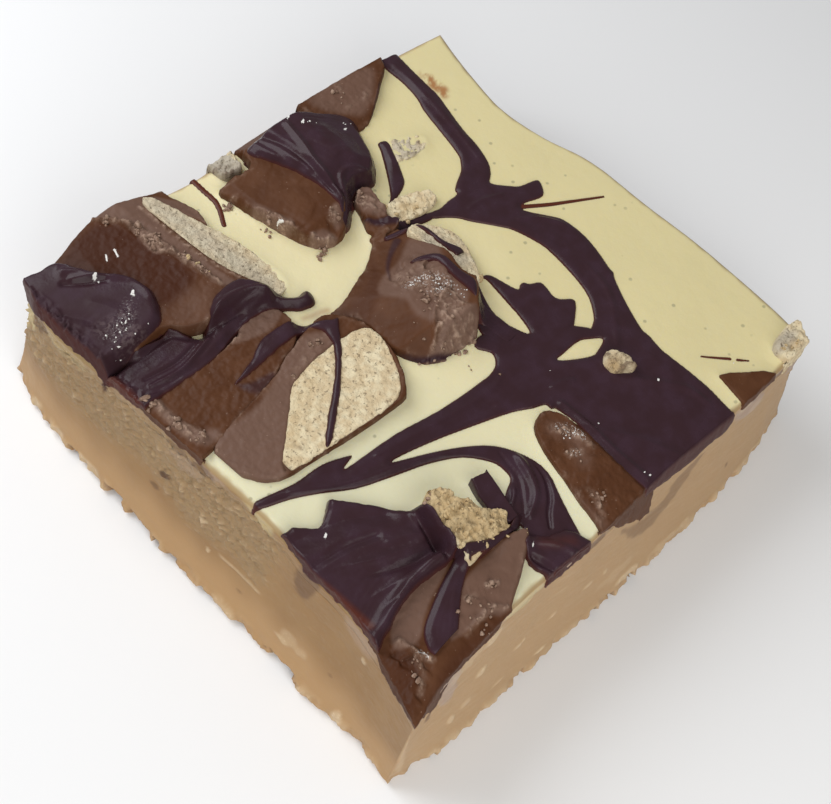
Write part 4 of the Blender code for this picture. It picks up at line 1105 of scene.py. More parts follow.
def traced_foot(x, y, along, foot, ragged):
    """The height of a lower edge that was traced along a cut, made ragged by this much."""
    return np.interp(along, *zip(*foot)) + ragged * grain(x, y, 0, 1.1, 3, 41)


def cut_foot(x, y, deep, foot):
    """The height of a piece's lower edge: traced along the front or the left cut, level elsewhere."""
    low = TOP - deep + 0.5 * grain(x, y, 0, 2.0, 3, 8)
    if "front" in foot:
        low = np.where(y < -29.0, traced_foot(x, y, x, foot["front"], 0.35), low)
    if "left" in foot:
        low = np.where(x < np.minimum(-29.0, y + 0.5), traced_foot(x, y, y, foot["left"], 0.35), low)
    return low


def make_chunk(name, shape):
    """Builds one chunk over its own part of the patch and dresses it."""
    outline = np.array(shape["outline"])
    u, v = patch_part(outline.min(0) - 1.6, outline.max(0) + 1.6, CHUNK_STEP)
    x, y = patch(u, v)
    form = chunk_form(x, y, shape)
    keep = (form["height"] > LOWEST) & (form["depth"] > FARTHEST)
    low = cut_foot(x, y, shape["deep"], shape.get("foot", {}))
    tints = {"thin": 0.0, **{label: form[label] for label in CHUNK_TINTS}}
    made = slab(name, u, v, TOP + form["height"], keep, low, tints, out=proud(form["depth"]),
                shift=wall_tuck(x, y, form["depth"]), rows=9)
    dress(made, shape["finish"], name)


for name, shape in CHUNKS.items():
    make_chunk(name, shape)

# %% [markdown]
# ## What the knife left on the sides
#
# The sides carry marks that the photo shows: pale torn bits, brown streaks where chocolate was
# dragged down, greyish crumb and cream. Each is a soft spot on a side, at a place along it and a
# height. The outer bumps of the torn curls are painted pale as highlights. The frilly foot has gaps
# that are painted dark as shadow, and pale flakes with painted highlights on the frill's bumps.

# %% Side marks
# By side (0 front, 3 left) and kind: place along the side, height, half width, half height, amount.
SPOTS_ON_SIDES = {
    (3, "stain_and_shadow"): (
        (-13.5, 14.5, 1.4, 2.2, 0.3), (-13.6, 16.4, 0.7, 0.8, 0.7), (28.5, 15.8, 1.2, 1.3, 0.45),
        (17.4, 15.4, 0.35, 1.4, 0.9), (7.0, 9.9, 0.8, 0.5, 0.75), (8.0, 7.5, 0.7, 0.3, 0.5),
        (-21, 6.2, 0.4, 0.3, 0.3), (-7, 4.5, 0.4, 0.25, 0.3), (2.5, 15.6, 1.6, 0.6, 0.45),
        (6.5, 15.6, 2.0, 0.5, 0.4)),
    (3, "grey"): (
        (-22, 16, 2.4, 1.8, 0.5), (1, 16.6, 1.6, 1.2, 0.5), (5, 14.4, 3.2, 1.2, 0.35)),
    (3, "creamy"): (
        (-6, 16.6, 2.8, 1.1, 0.7), (31.5, 13.5, 1.4, 2.6, 0.9), (24, 15.6, 3.5, 1.4, 0.3)),
    (3, "pale"): (
        (-23.5, 13, 0.4, 0.5, 0.9), (-15, 5.2, 2.0, 0.9, 0.45), (-14, 4.4, 0.9, 0.4, 0.7),
        (-6, 6.7, 3.0, 0.2, 0.6), (0.4, 9, 0.5, 0.3, 0.9), (-1.5, 6.1, 0.3, 0.3, 0.9),
        (-24, 1.2, 1.0, 1.3, 1.0), (17.5, 1.2, 1.8, 1.0, 0.9), (23.6, 1.0, 1.4, 1.1, 0.9),
        (28, 1.3, 0.9, 1.0, 0.9)),
    (0, "stain_and_shadow"): (
        (-29.9, 11.4, 0.5, 1.2, 0.6), (-5.4, 15.5, 2.4, 0.6, 0.5), (28, 15.8, 1.8, 0.5, 0.6),
        (5.5, 9.2, 2.4, 0.8, 0.3), (20.5, 5, 0.3, 0.4, 0.5)),
    (0, "grey"): (
        (-9.5, 16, 1.4, 0.5, 0.9), (31.5, 13.8, 1.2, 1.2, 0.8), (22.4, 14.2, 2.0, 1.3, 1.0),
        (-26.8, 13.4, 1.6, 3.2, 0.95)),
    (0, "pale"): (
        (24, 13.6, 1.2, 0.9, 0.35), (21.2, 15.4, 1.2, 0.6, 0.5), (-24, 14.4, 2.8, 1.6, 0.4),
        (-19.8, 14.6, 1.6, 1.1, 0.8), (-24, 16.4, 6.0, 0.3, 0.6), (-33.6, 8, 0.5, 7, 0.4),
        (-21.8, 9, 0.8, 0.5, 0.8), (-26.5, 5, 0.5, 0.9, 0.9), (-24.4, 5.6, 0.8, 0.6, 0.6),
        (-16, 7, 0.6, 0.25, 0.8), (-15, 7.2, 0.3, 0.3, 0.9), (-10.5, 7, 0.6, 0.3, 0.9),
        (-5, 7, 0.8, 0.2, 0.8), (-2, 6.8, 0.3, 0.4, 0.7), (-19, 3.6, 1.0, 0.3, 0.8),
        (-13, 2.6, 0.8, 0.3, 0.9), (0, 4.4, 3, 0.8, 0.25), (2, 2.4, 1.6, 0.5, 0.9), (10, 1.9, 3.4, 0.5, 0.5),
        (26, 1.8, 4.0, 0.4, 0.6)),
    (0, "creamy"): ((-15, 16, 2.8, 0.9, 0.9),),
}
# Side, kind, amount, and an outline of places along the side and heights.
PATCHES_ON_SIDES = (
    (0, "grey", 1.0, ((19.2, 15.6), (21, 16.3), (23, 16), (25, 15), (25.2, 13.4), (24, 12.2), (22, 12.8),
                      (20, 13.8))),
    (0, "stain_and_shadow", 0.65, ((24.6, 16.4), (27, 16.4), (30.4, 15.7), (30, 14.8), (27.4, 15.2), (25.4, 15.8))),
    (0, "grey", 0.9, ((30, 15), (31.6, 15.6), (33, 14.4), (32.4, 12.6), (30.6, 12.8))),
    (0, "stain_and_shadow", 0.6, ((-8.4, 16.2), (-5, 16.4), (-3, 16), (-3.6, 15), (-6, 14.9))),
    (0, "grey", 1.0, ((-28.6, 16.6), (-25, 16.8), (-25.4, 13), (-26.5, 10), (-27.8, 10.2), (-28.2, 12.6))),
    (0, "stain_and_shadow", 0.4, ((0, 12.6), (3, 10.4), (8, 9.8), (10.5, 12.4), (15, 12.8), (13, 10.6), (8, 7.6),
                       (3, 7.8))),
    (3, "stain_and_shadow", 0.5, ((-15.4, 16.4), (-13.6, 16), (-12.2, 15), (-12.6, 12.4), (-14, 11.6), (-15, 13.4))),
    (3, "grey", 0.35, ((-24.6, 17), (-20, 17), (-19.6, 15.4), (-21.4, 14), (-24, 14.4))),
    (3, "stain_and_shadow", 0.5, ((26.6, 16.4), (28.6, 15.6), (30.2, 14.6), (29.4, 13.4), (27.6, 14.4))))
# Side, place along it, half width, height.
FOOT_GAPS = ((3, -15.5, 2.6, 1.9), (3, -3.5, 1.5, 1.2), (3, 2.2, 0.8, 1.4), (3, 4.8, 0.8, 1.7),
             (3, 8, 2.0, 1.5), (3, 12.6, 1.6, 1.9), (3, 20, 1.0, 1.6), (3, -8.6, 0.8, 0.9),
             (0, -4, 0.7, 1.9), (0, -1, 0.5, 1.7), (0, 2.2, 0.8, 2.3), (0, 3.2, 0.4, 1.2),
             (0, -15.6, 0.3, 1.9), (0, -29.4, 0.3, 1.3))


def on_side(side, s, x, y):
    """Whether a place round the square is on the front (0) or the left side (3), and how far along."""
    return (s >= 3, y) if side == 3 else (s < 1, x)


def side_fields(s, z):
    """What the sides show at a place round the square and a height: the tints, how torn it is, and how
    far it stands out."""
    x, y = side_point(s, z)
    left, front = (s >= 3) * 1.0 + 0 * z, (s < 1) * 1.0 + 0 * z
    fields = {kind: np.zeros(x.shape) for kind in ("stain_and_shadow", "grey", "creamy", "pale")}
    wander = 0.6 * noise(x / 1.4, y / 1.4, z / 1.4, 51)
    for (side, kind), spots in SPOTS_ON_SIDES.items():
        here, along = on_side(side, s, x, y)
        for place, height, wide, tall, amount in spots:
            far = np.sqrt(((along - place) / wide) ** 2 + ((z - height) / tall) ** 2)
            fields[kind] = np.maximum(fields[kind], here * amount * ramped(-far - wander, -1.3, -0.7))
    for side, kind, amount, outline in PATCHES_ON_SIDES:
        here, along = on_side(side, s, x, y)
        depth = inside(along + 0 * z, z + 0 * x, smooth(outline, 3)) + 0.5 * wander
        fields[kind] = np.maximum(fields[kind], here * amount * ramped(depth, -0.2, 0.35))
    upper = ramped(z + 1.5 * noise(x / 6, y / 6, 0, 6), 6.5, 9.0) * (1 - 0.5 * ramped(z, 15, 16.6))
    where_torn = left * ramped(y + 2 * noise(x, y / 3), -12, -6) + 0.35 * (1 - left) * (1 - front)
    torn = np.clip(upper * (0.12 + 0.88 * where_torn), 0, 1)
    bend = 1.2 * noise(x / 2.2, y / 2.2, z / 2.2, 52)
    curl = 0.8 * noise(x / 1.3, y / 1.3, z / 0.5 + bend, 7)
    curl = curl + 0.8 * noise(x / 0.6, y / 0.6, z / 0.33 + bend, 8)
    comb = noise(x / 6, y / 6, z / 0.5 + 0.5 * x * front, 10)
    # The outer bumps of the torn curls are painted pale: painted highlight.
    fields["pale"] = np.maximum(fields["pale"], torn * ramped(curl, 0.35, 1.0) * 0.7)
    dragged = front * ramped(comb, 0.4, 1.0) * ramped(z + 2 * noise(x / 5, y / 5, 0, 57), 6, 11)
    fields["pale"] = np.maximum(fields["pale"], 0.4 * dragged)
    out = 0.10 * grain(x, y, z, 5, 2, 10) + 0.30 * torn * curl + 0.025 * comb
    out = out + 0.12 * fields["pale"] + 0.08 * fields["grey"]
    out = out + 0.05 * fields["stain_and_shadow"] * noise(x, y, z / 0.4, 54)
    low = left * (1 - ramped(z + 1.5 * noise(x / 5, y / 5, 0, 55), 3.0, 8.0))
    return {**fields, "torn": torn, "front": front, "low": low}, out * (1 - 0.7 * ramped(z, 15.2, 16.4))


# %% [markdown]
# ## The cream
#
# The cream is the whole top, one thin layer over the slab. The patch's rim is the knife's cut, where
# the layer rounds over a little, and its cut side is dragged over with fudge, so the colour changes
# to the slab's within the first millimetre down.

# %% Cream layer
CREAM_CELLS = 270
RIM_ROUND = 0.35
SMEAR_PATCH = ((25.2, 23.7), (26.6, 24), (26.8, 26), (26.4, 28.4), (25.4, 28))
SMEAR_STROKE = ((-10.6, 9.6, 0.2), (-8, 8.7, 0.4))
u = v = np.linspace(0, 1, CREAM_CELLS + 1)
x, y = patch(u, v)
from_rim = TOP_WIDTH * np.minimum(np.minimum(u, 1 - u)[None, :], np.minimum(v, 1 - v)[:, None])
height = TOP + cream_rise(x, y) - RIM_ROUND * np.clip(1 - from_rim / 0.6, 0, 1) ** 2
side_amount = 1 - ramped(from_rim, 0.1, 0.7 + 0.4 * noise(x / 1.5, y / 1.5))
smear = 0.9 * ramped(inside(x, y, smooth(SMEAR_PATCH)), -0.5, 0.4)
smear = smear * ramped(grain(x, y, 0, 1.2, 3, 4), -0.5, 0.4)
smear = np.maximum(smear, 0.5 * ramped(stroke(x, y, SMEAR_STROKE), -0.5, 0.5))
drift = 6 * noise(x / 14, y / 14, 0, 56)
# Painted light: lighter towards the left of the top, fading out to the right.
light = ramped(18 - x - 0.2 * y + drift, 0, 22)
cool = 0.7 * ramped(-x - y + drift, 2, 34)
tints = {"side": side_amount, "smear": smear, "cool": cool, "light": light, "torn": 0.3, "creamy": 0.3,
         **dict.fromkeys(("pale", "stain_and_shadow", "front", "low", "grey"), 0.0)}
layer = slab("white_topping", u, v, height, np.ones(x.shape, bool), TOP - TOPPING, tints, skin=side_fields)
dress(layer, "cream", "white_topping")

# %% [markdown]
# ## The slab of fudge
#
# The knife pressed the fudge smooth low down and tore it higher up, where curled flakes lie along
# the cut. The foot spread into a thin frilly lip. The side is one grid, round the square and up it,
# pushed in and out by the side's fields, with caps over and under.

# %% Fudge
AROUND, UP = 1080, 84
s = np.linspace(0, 4, AROUND, endpoint=False)[None, :]
z = ((TOP - TOPPING) * np.linspace(0, 1, UP) ** 1.15)[:, None]
base_x, base_y = side_point(s, z)
fields, out = side_fields(s, z)
lip = 1 - ramped(z, 1.0, 2.6)
frill = grain(base_x, base_y, z / 2, 1.9, 4, 9)
gap = ramped(noise(base_x / 2.2, base_y / 2.2, 0, 12), 0.1, 0.35) * (1 - ramped(z, 0.35, 0.8))
gap = gap * ((s >= 1) & (s < 3))
for side, place, wide, tall in FOOT_GAPS:
    here, along = on_side(side, s, base_x, base_y)
    reach = 1 - np.abs((along - place) / wide) - 0.5 * noise(base_x, base_y, z, 53)
    opened = here * ramped(reach, 0.0, 0.45) * (1 - ramped(z, tall * 0.6, tall))
    gap = np.maximum(gap, opened * ramped(z, -0.2, 0.1))
out = out + lip * (0.5 * frill + 0.25 * ramped(z, 0.0, 0.5) - 0.1) - 1.3 * gap
# Where the frill stands out it is painted pale: painted highlight.
flakes = 0.8 * lip * ramped(frill, 0.0, 0.6) * ramped(z, 0.3, 0.9)
fields["pale"] = np.clip(np.maximum(fields["pale"], flakes) - gap, 0, 1)
# The gaps under the lip are also painted dark: painted shadow.
fields["stain_and_shadow"] = np.clip(np.maximum(fields["stain_and_shadow"], gap), 0, 1)
x, y = side_point(s, z, out)
points = np.stack([x, y, z + 0 * s], -1).reshape(-1, 3)
number = np.arange(UP * AROUND).reshape(UP, AROUND)
turn = np.roll(number, -1, 1)
walls = np.stack([number[:-1], turn[:-1], turn[1:], number[1:]], -1).reshape(-1, 4)
slab_piece = mesh_object("fudge_base", points, (walls, number[-1:], number[:1, ::-1]), fields)
dress(slab_piece, "fudge", "fudge_base")

# %% [markdown]
# ## Dark chocolate marbling
#
# The dark chocolate was poured on the wet cream and pulled with a stick, so it lies in the cream with
# a soft raised bead along its edges, and fine ridges follow the pull. Several outlines make it: their
# depths are joined by taking the deepest, and the islands of cream are taken out again.

# %% Marbling outlines
SWIRL = ((22.3, 36), (22.3, 34.5), (22.6, 31.5), (22.8, 28.5), (22.4, 25.5), (21.7, 23.6), (21.0, 20),
         (20.2, 16), (19.6, 14.8), (18.6, 13.7), (17.0, 12.8), (15.9, 12.0), (15.6, 11.4), (14, 11.3),
         (12.4, 11.1), (10.4, 11.4), (10.6, 10.6), (12, 9.7), (13.2, 8.6), (14, 7.4), (16.2, 4.6),
         (17.2, 3.1), (18.2, 0), (18.4, -2), (18.0, -6), (17.2, -9.3), (15.4, -11.8), (13.5, -13.0),
         (14.5, -16), (17, -18), (18.5, -18.4), (18.7, -17), (19.2, -15.3), (20.4, -12.2), (21.6, -9.6),
         (22.2, -8.8), (22.3, -8), (23.2, -5), (23.6, -2.2), (23.3, 0.3), (22.6, 1.6), (20.4, 4.5),
         (21.2, 5.2), (23.2, 4.6), (24.3, 4.8), (25.2, 6.3), (24.8, 6.9), (22.8, 7.4), (21.8, 8.2),
         (20.2, 10), (21.2, 11), (22.3, 12.5), (23.2, 15.5), (23.6, 18.5), (24.9, 24), (25.1, 26),
         (25.3, 29), (25.6, 32.5), (25.6, 36))
SPIKES = ((8.8, 0.6), (9.3, 0.8), (10, 0.6), (10.5, -0.2), (11.1, -2.6), (11.5, -3.2), (12, -2.9),
          (12.6, -2.9), (13, -3.5), (14.2, -4.2), (14.2, -5.4), (14, -6.4), (14.3, -7.3), (15.6, -8.6),
          (13.2, -10.7), (12.1, -11.4), (13.8, -12.4), (13, -14), (8, -13), (4, -11), (3.6, -4.6),
          (4.9, -1.5), (5.2, 2), (7.4, 2))
RIVER = ((-29.6, -4.3), (-28.5, -4.4), (-25, -5.3), (-22.5, -5.4), (-20.5, -5.7), (-18.2, -6.6),
         (-18.4, -6.9), (-19.8, -7.3), (-19, -7.5), (-13, -7.8), (-7, -8.8), (-1, -9.2), (1, -9.1),
         (2.2, -8.5), (2.7, -7.3), (1.6, -5.6), (4, -5), (9, -8), (13, -11), (14.5, -14), (8, -16),
         (3.1, -17), (2.6, -16), (1.2, -15.4), (-1, -14.2), (-5, -12.8), (-9.4, -11.4), (-13.5, -10.3),
         (-15.4, -10), (-14.5, -10.5), (-11.5, -11.9), (-8.2, -13.7), (-5.4, -15.9), (-3.7, -18.9),
         (-3.3, -22), (-4.5, -25.2), (-5.8, -28.8), (-6.1, -30.3), (-6.1, -36), (-11.2, -36), (-11.2, -30.3),
         (-12.6, -28.5), (-12.5, -27.6), (-10.6, -25.6), (-10.2, -24.4), (-10.6, -23), (-10.2, -21.8),
         (-8.5, -20.6), (-7, -19.8), (-6.8, -18.5), (-7.2, -17), (-9.2, -14.6), (-12.5, -12.8),
         (-16.5, -11.4), (-20.5, -9.9), (-23.7, -7.9), (-26.5, -6.4), (-29.6, -5.2))
POOL = ((3.3, -36), (3.2, -30), (2.9, -27), (3.1, -23.8), (3.4, -20), (3.1, -17), (2.6, -16), (1.5, -14),
        (3, -12), (13.5, -12.4), (17.6, -14.4), (18.8, -17), (18.5, -20), (18.9, -26), (18.6, -30.4),
        (18.6, -36))
BACK_STROKE = ((13.4, 23.2), (14.3, 23), (14.4, 22.3), (13.8, 20.8), (12.6, 17.9), (11.6, 16.5), (9.4, 15.5),
               (7.8, 15.3), (9, 16.2), (10.6, 18.4), (12.2, 21), (12.9, 22.2))
LEAVES = (
    ((9.2, 0.6), (8.9, 1.5), (8.2, 0.3), (7.1, -2.6), (6.8, -4.6), (7.1, -6.2), (8.1, -8.3), (8.8, -5.8),
     (9, -4), (9.4, -0.4)),
    ((8, -12.8), (9, -12.7), (11.6, -12.7), (12.8, -13.2), (14.2, -14.3), (12.5, -15), (11.4, -15),
     (9.2, -13.8)))
THREADS = (
    ((20.8, 4.9, 0.35), (24, 2.9, 0.3), (29.8, -0.3, 0.18)),
    ((-8, 34, 0.35), (-7.9, 31, 0.38), (-8, 28, 0.35), (-9.3, 25.2, 0.3)),
    ((21.5, -23.4, 0.16), (23.9, -25.8, 0.24)),
    ((24.5, -26.5, 0.22), (25.4, -27.4, 0.16)))
RUN_TO_CHUNK = ((10.4, 11, 0.5), (8.8, 11.4, 0.6), (6.6, 12.2, 0.9), (5.2, 13.2, 0.8))
POOL_FOOT = ((-13, 16.3), (-11.5, 15.8), (-10.5, 16.3), (-9, 16.6), (-7.5, 16.8), (-4, 16.5), (2, 16.3),
             (3, 15.8), (5, 14.8), (7, 14), (9, 13.6), (11, 13.3), (12.5, 13.2), (14, 13.8), (15.5, 13.9),
             (16.5, 13.4), (18, 13.6), (19, 15), (20, 16))


def marbling_depth(x, y):
    """How deep inside the marbling: the deepest of its outlines, less the islands."""
    depth = np.full(x.shape, -3.0)
    for outline in (SWIRL, SPIKES, RIVER, POOL, BACK_STROKE):
        depth = np.maximum(depth, inside(x, y, smooth(outline, 3)))
    depth = np.maximum(depth, stroke(x, y, RUN_TO_CHUNK))
    for island in LEAVES:
        depth = np.minimum(depth, -inside(x, y, smooth(island, 4)))
    return depth


# %% Marbling
MARBLE_CELLS = 430
FOLDS_AT = 0.4  # height that the folds were traced at
# Lines traced along the pull, raised or sunk.
FOLDS = (
    ("lift", 0.16, 0.5, ((-26, -5.8, 0.1), (-22.5, -8, 0.3), (-19, -9.6, 0.3), (-14, -11, 0.3),
                         (-10, -12.8, 0.2))),
    ("lift", 0.12, 0.4, ((-16, -8.4, 0.1), (-8, -9.8, 0.3), (-1, -10.6, 0.3), (2, -10, 0.1))),
    ("lift", -0.1, 0.4, ((-15, -9.4, 0.1), (-8, -11, 0.25), (-2, -12.2, 0.2))),
    ("lift", 0.3, 0.4, ((-2.6, -15.6, 0.1), (-4.3, -18.5, 0.35), (-5.1, -21.1, 0.4), (-6.3, -23, 0.35),
                        (-8.5, -24.2, 0.2))),
    ("lift", -0.16, 0.3, ((-5.6, -16.8, 0.05), (-5.9, -18.7, 0.15), (-6.3, -20.5, 0.2), (-7.8, -22.5, 0.2),
                          (-8.9, -23.7, 0.1))),
    ("lift", -0.3, 0.3, ((-3.3, -19.2, 0.1), (-3.8, -22, 0.2), (-5.1, -24, 0.25), (-6.7, -25.3, 0.2),
                         (-7.8, -26.6, 0.1))),
    ("lift", 0.3, 0.3, ((-6.6, -17.4, 0.05), (-7.2, -19.8, 0.2), (-7.9, -21.2, 0.2), (-9, -22, 0.1))),
    ("lift", 0.14, 0.4, ((15.5, 9, 0.15), (17.6, 8.8, 0.25), (20, 8, 0.15))),
    ("lift", 0.14, 0.4, ((19, 4, 0.15), (21.4, 2.2, 0.25), (23, 0, 0.15))),
    ("lift", 0.12, 0.5, ((20.6, -6, 0.1), (19.8, -10, 0.3), (17.4, -13.4, 0.3), (15.2, -15.6, 0.2))),
    ("lift", 0.12, 0.5, ((22, 14, 0.1), (23.2, 20, 0.4), (24, 27, 0.4), (24.2, 32, 0.3))),
    ("lift", 0.18, 0.4, ((5, -14.9, 0.15), (6.2, -15.2, 0.3), (7.4, -15.8, 0.15))),
    ("lift", 0.15, 0.5, ((11.5, -19.2, 0.2), (14, -21.4, 0.3), (16.8, -25, 0.3), (17.4, -28, 0.2))),
    ("lift", 0.2, 0.4, ((4.2, -17, 0.3), (4.4, -21, 0.3), (4.2, -25, 0.3), (4.4, -29.6, 0.3))))


def marbling_form(x, y):
    """Depth inside the marbling and its threads, and the height: a soft bead at the edge, a few broad
    ridges that keep their distance from it, and the traced folds."""
    depth = marbling_depth(x, y)
    thread = np.max([stroke(x, y, run) for run in THREADS], 0)
    ridges = noise(depth / 1.3, x / 9, y / 9, 21) + 0.8 * noise(x / 4, y / 4, 0, 23)
    lift = 0.08 * ridges + 1.4 * marked(x, y, FOLDS, "lift", FOLDS_AT)
    height = cream_rise(x, y) + np.maximum(bead(depth, 1.0, 0.36), bead(thread, 0.3, 0.12))
    return depth, thread, height + lift * ramped(depth, 0.1, 0.9)


u = v = np.linspace(0, 1, MARBLE_CELLS + 1)
x, y = patch(u, v)
depth, thread, height = marbling_form(x, y)
keep = (depth > -0.3) | (thread > -0.2)
foot = np.where(y < -28, traced_foot(x, y, x, POOL_FOOT, 0.2), TOP - 1.3)
thin = np.maximum(ramped(thread, -0.1, 0.1) * (depth < 0.05), 0.5 * (1 - ramped(depth, 0.0, 0.25)))
tints = {"thin": thin, "scuff": 0.0, "tone": 0.0}
marbling = slab("marbling", u, v, TOP + height, keep, foot, tints, proud(depth, 0.22), 0.06, rows=6)
dress(marbling, "dark", "white_topping")

# %% [markdown]
# ## Thick dark pours
#
# The folded mass by the left cut, the lobe at the front cut, the crust on the left cup and the drape
# on the back chunk are thicker: each is a heap over the ground, with folds drawn along it.

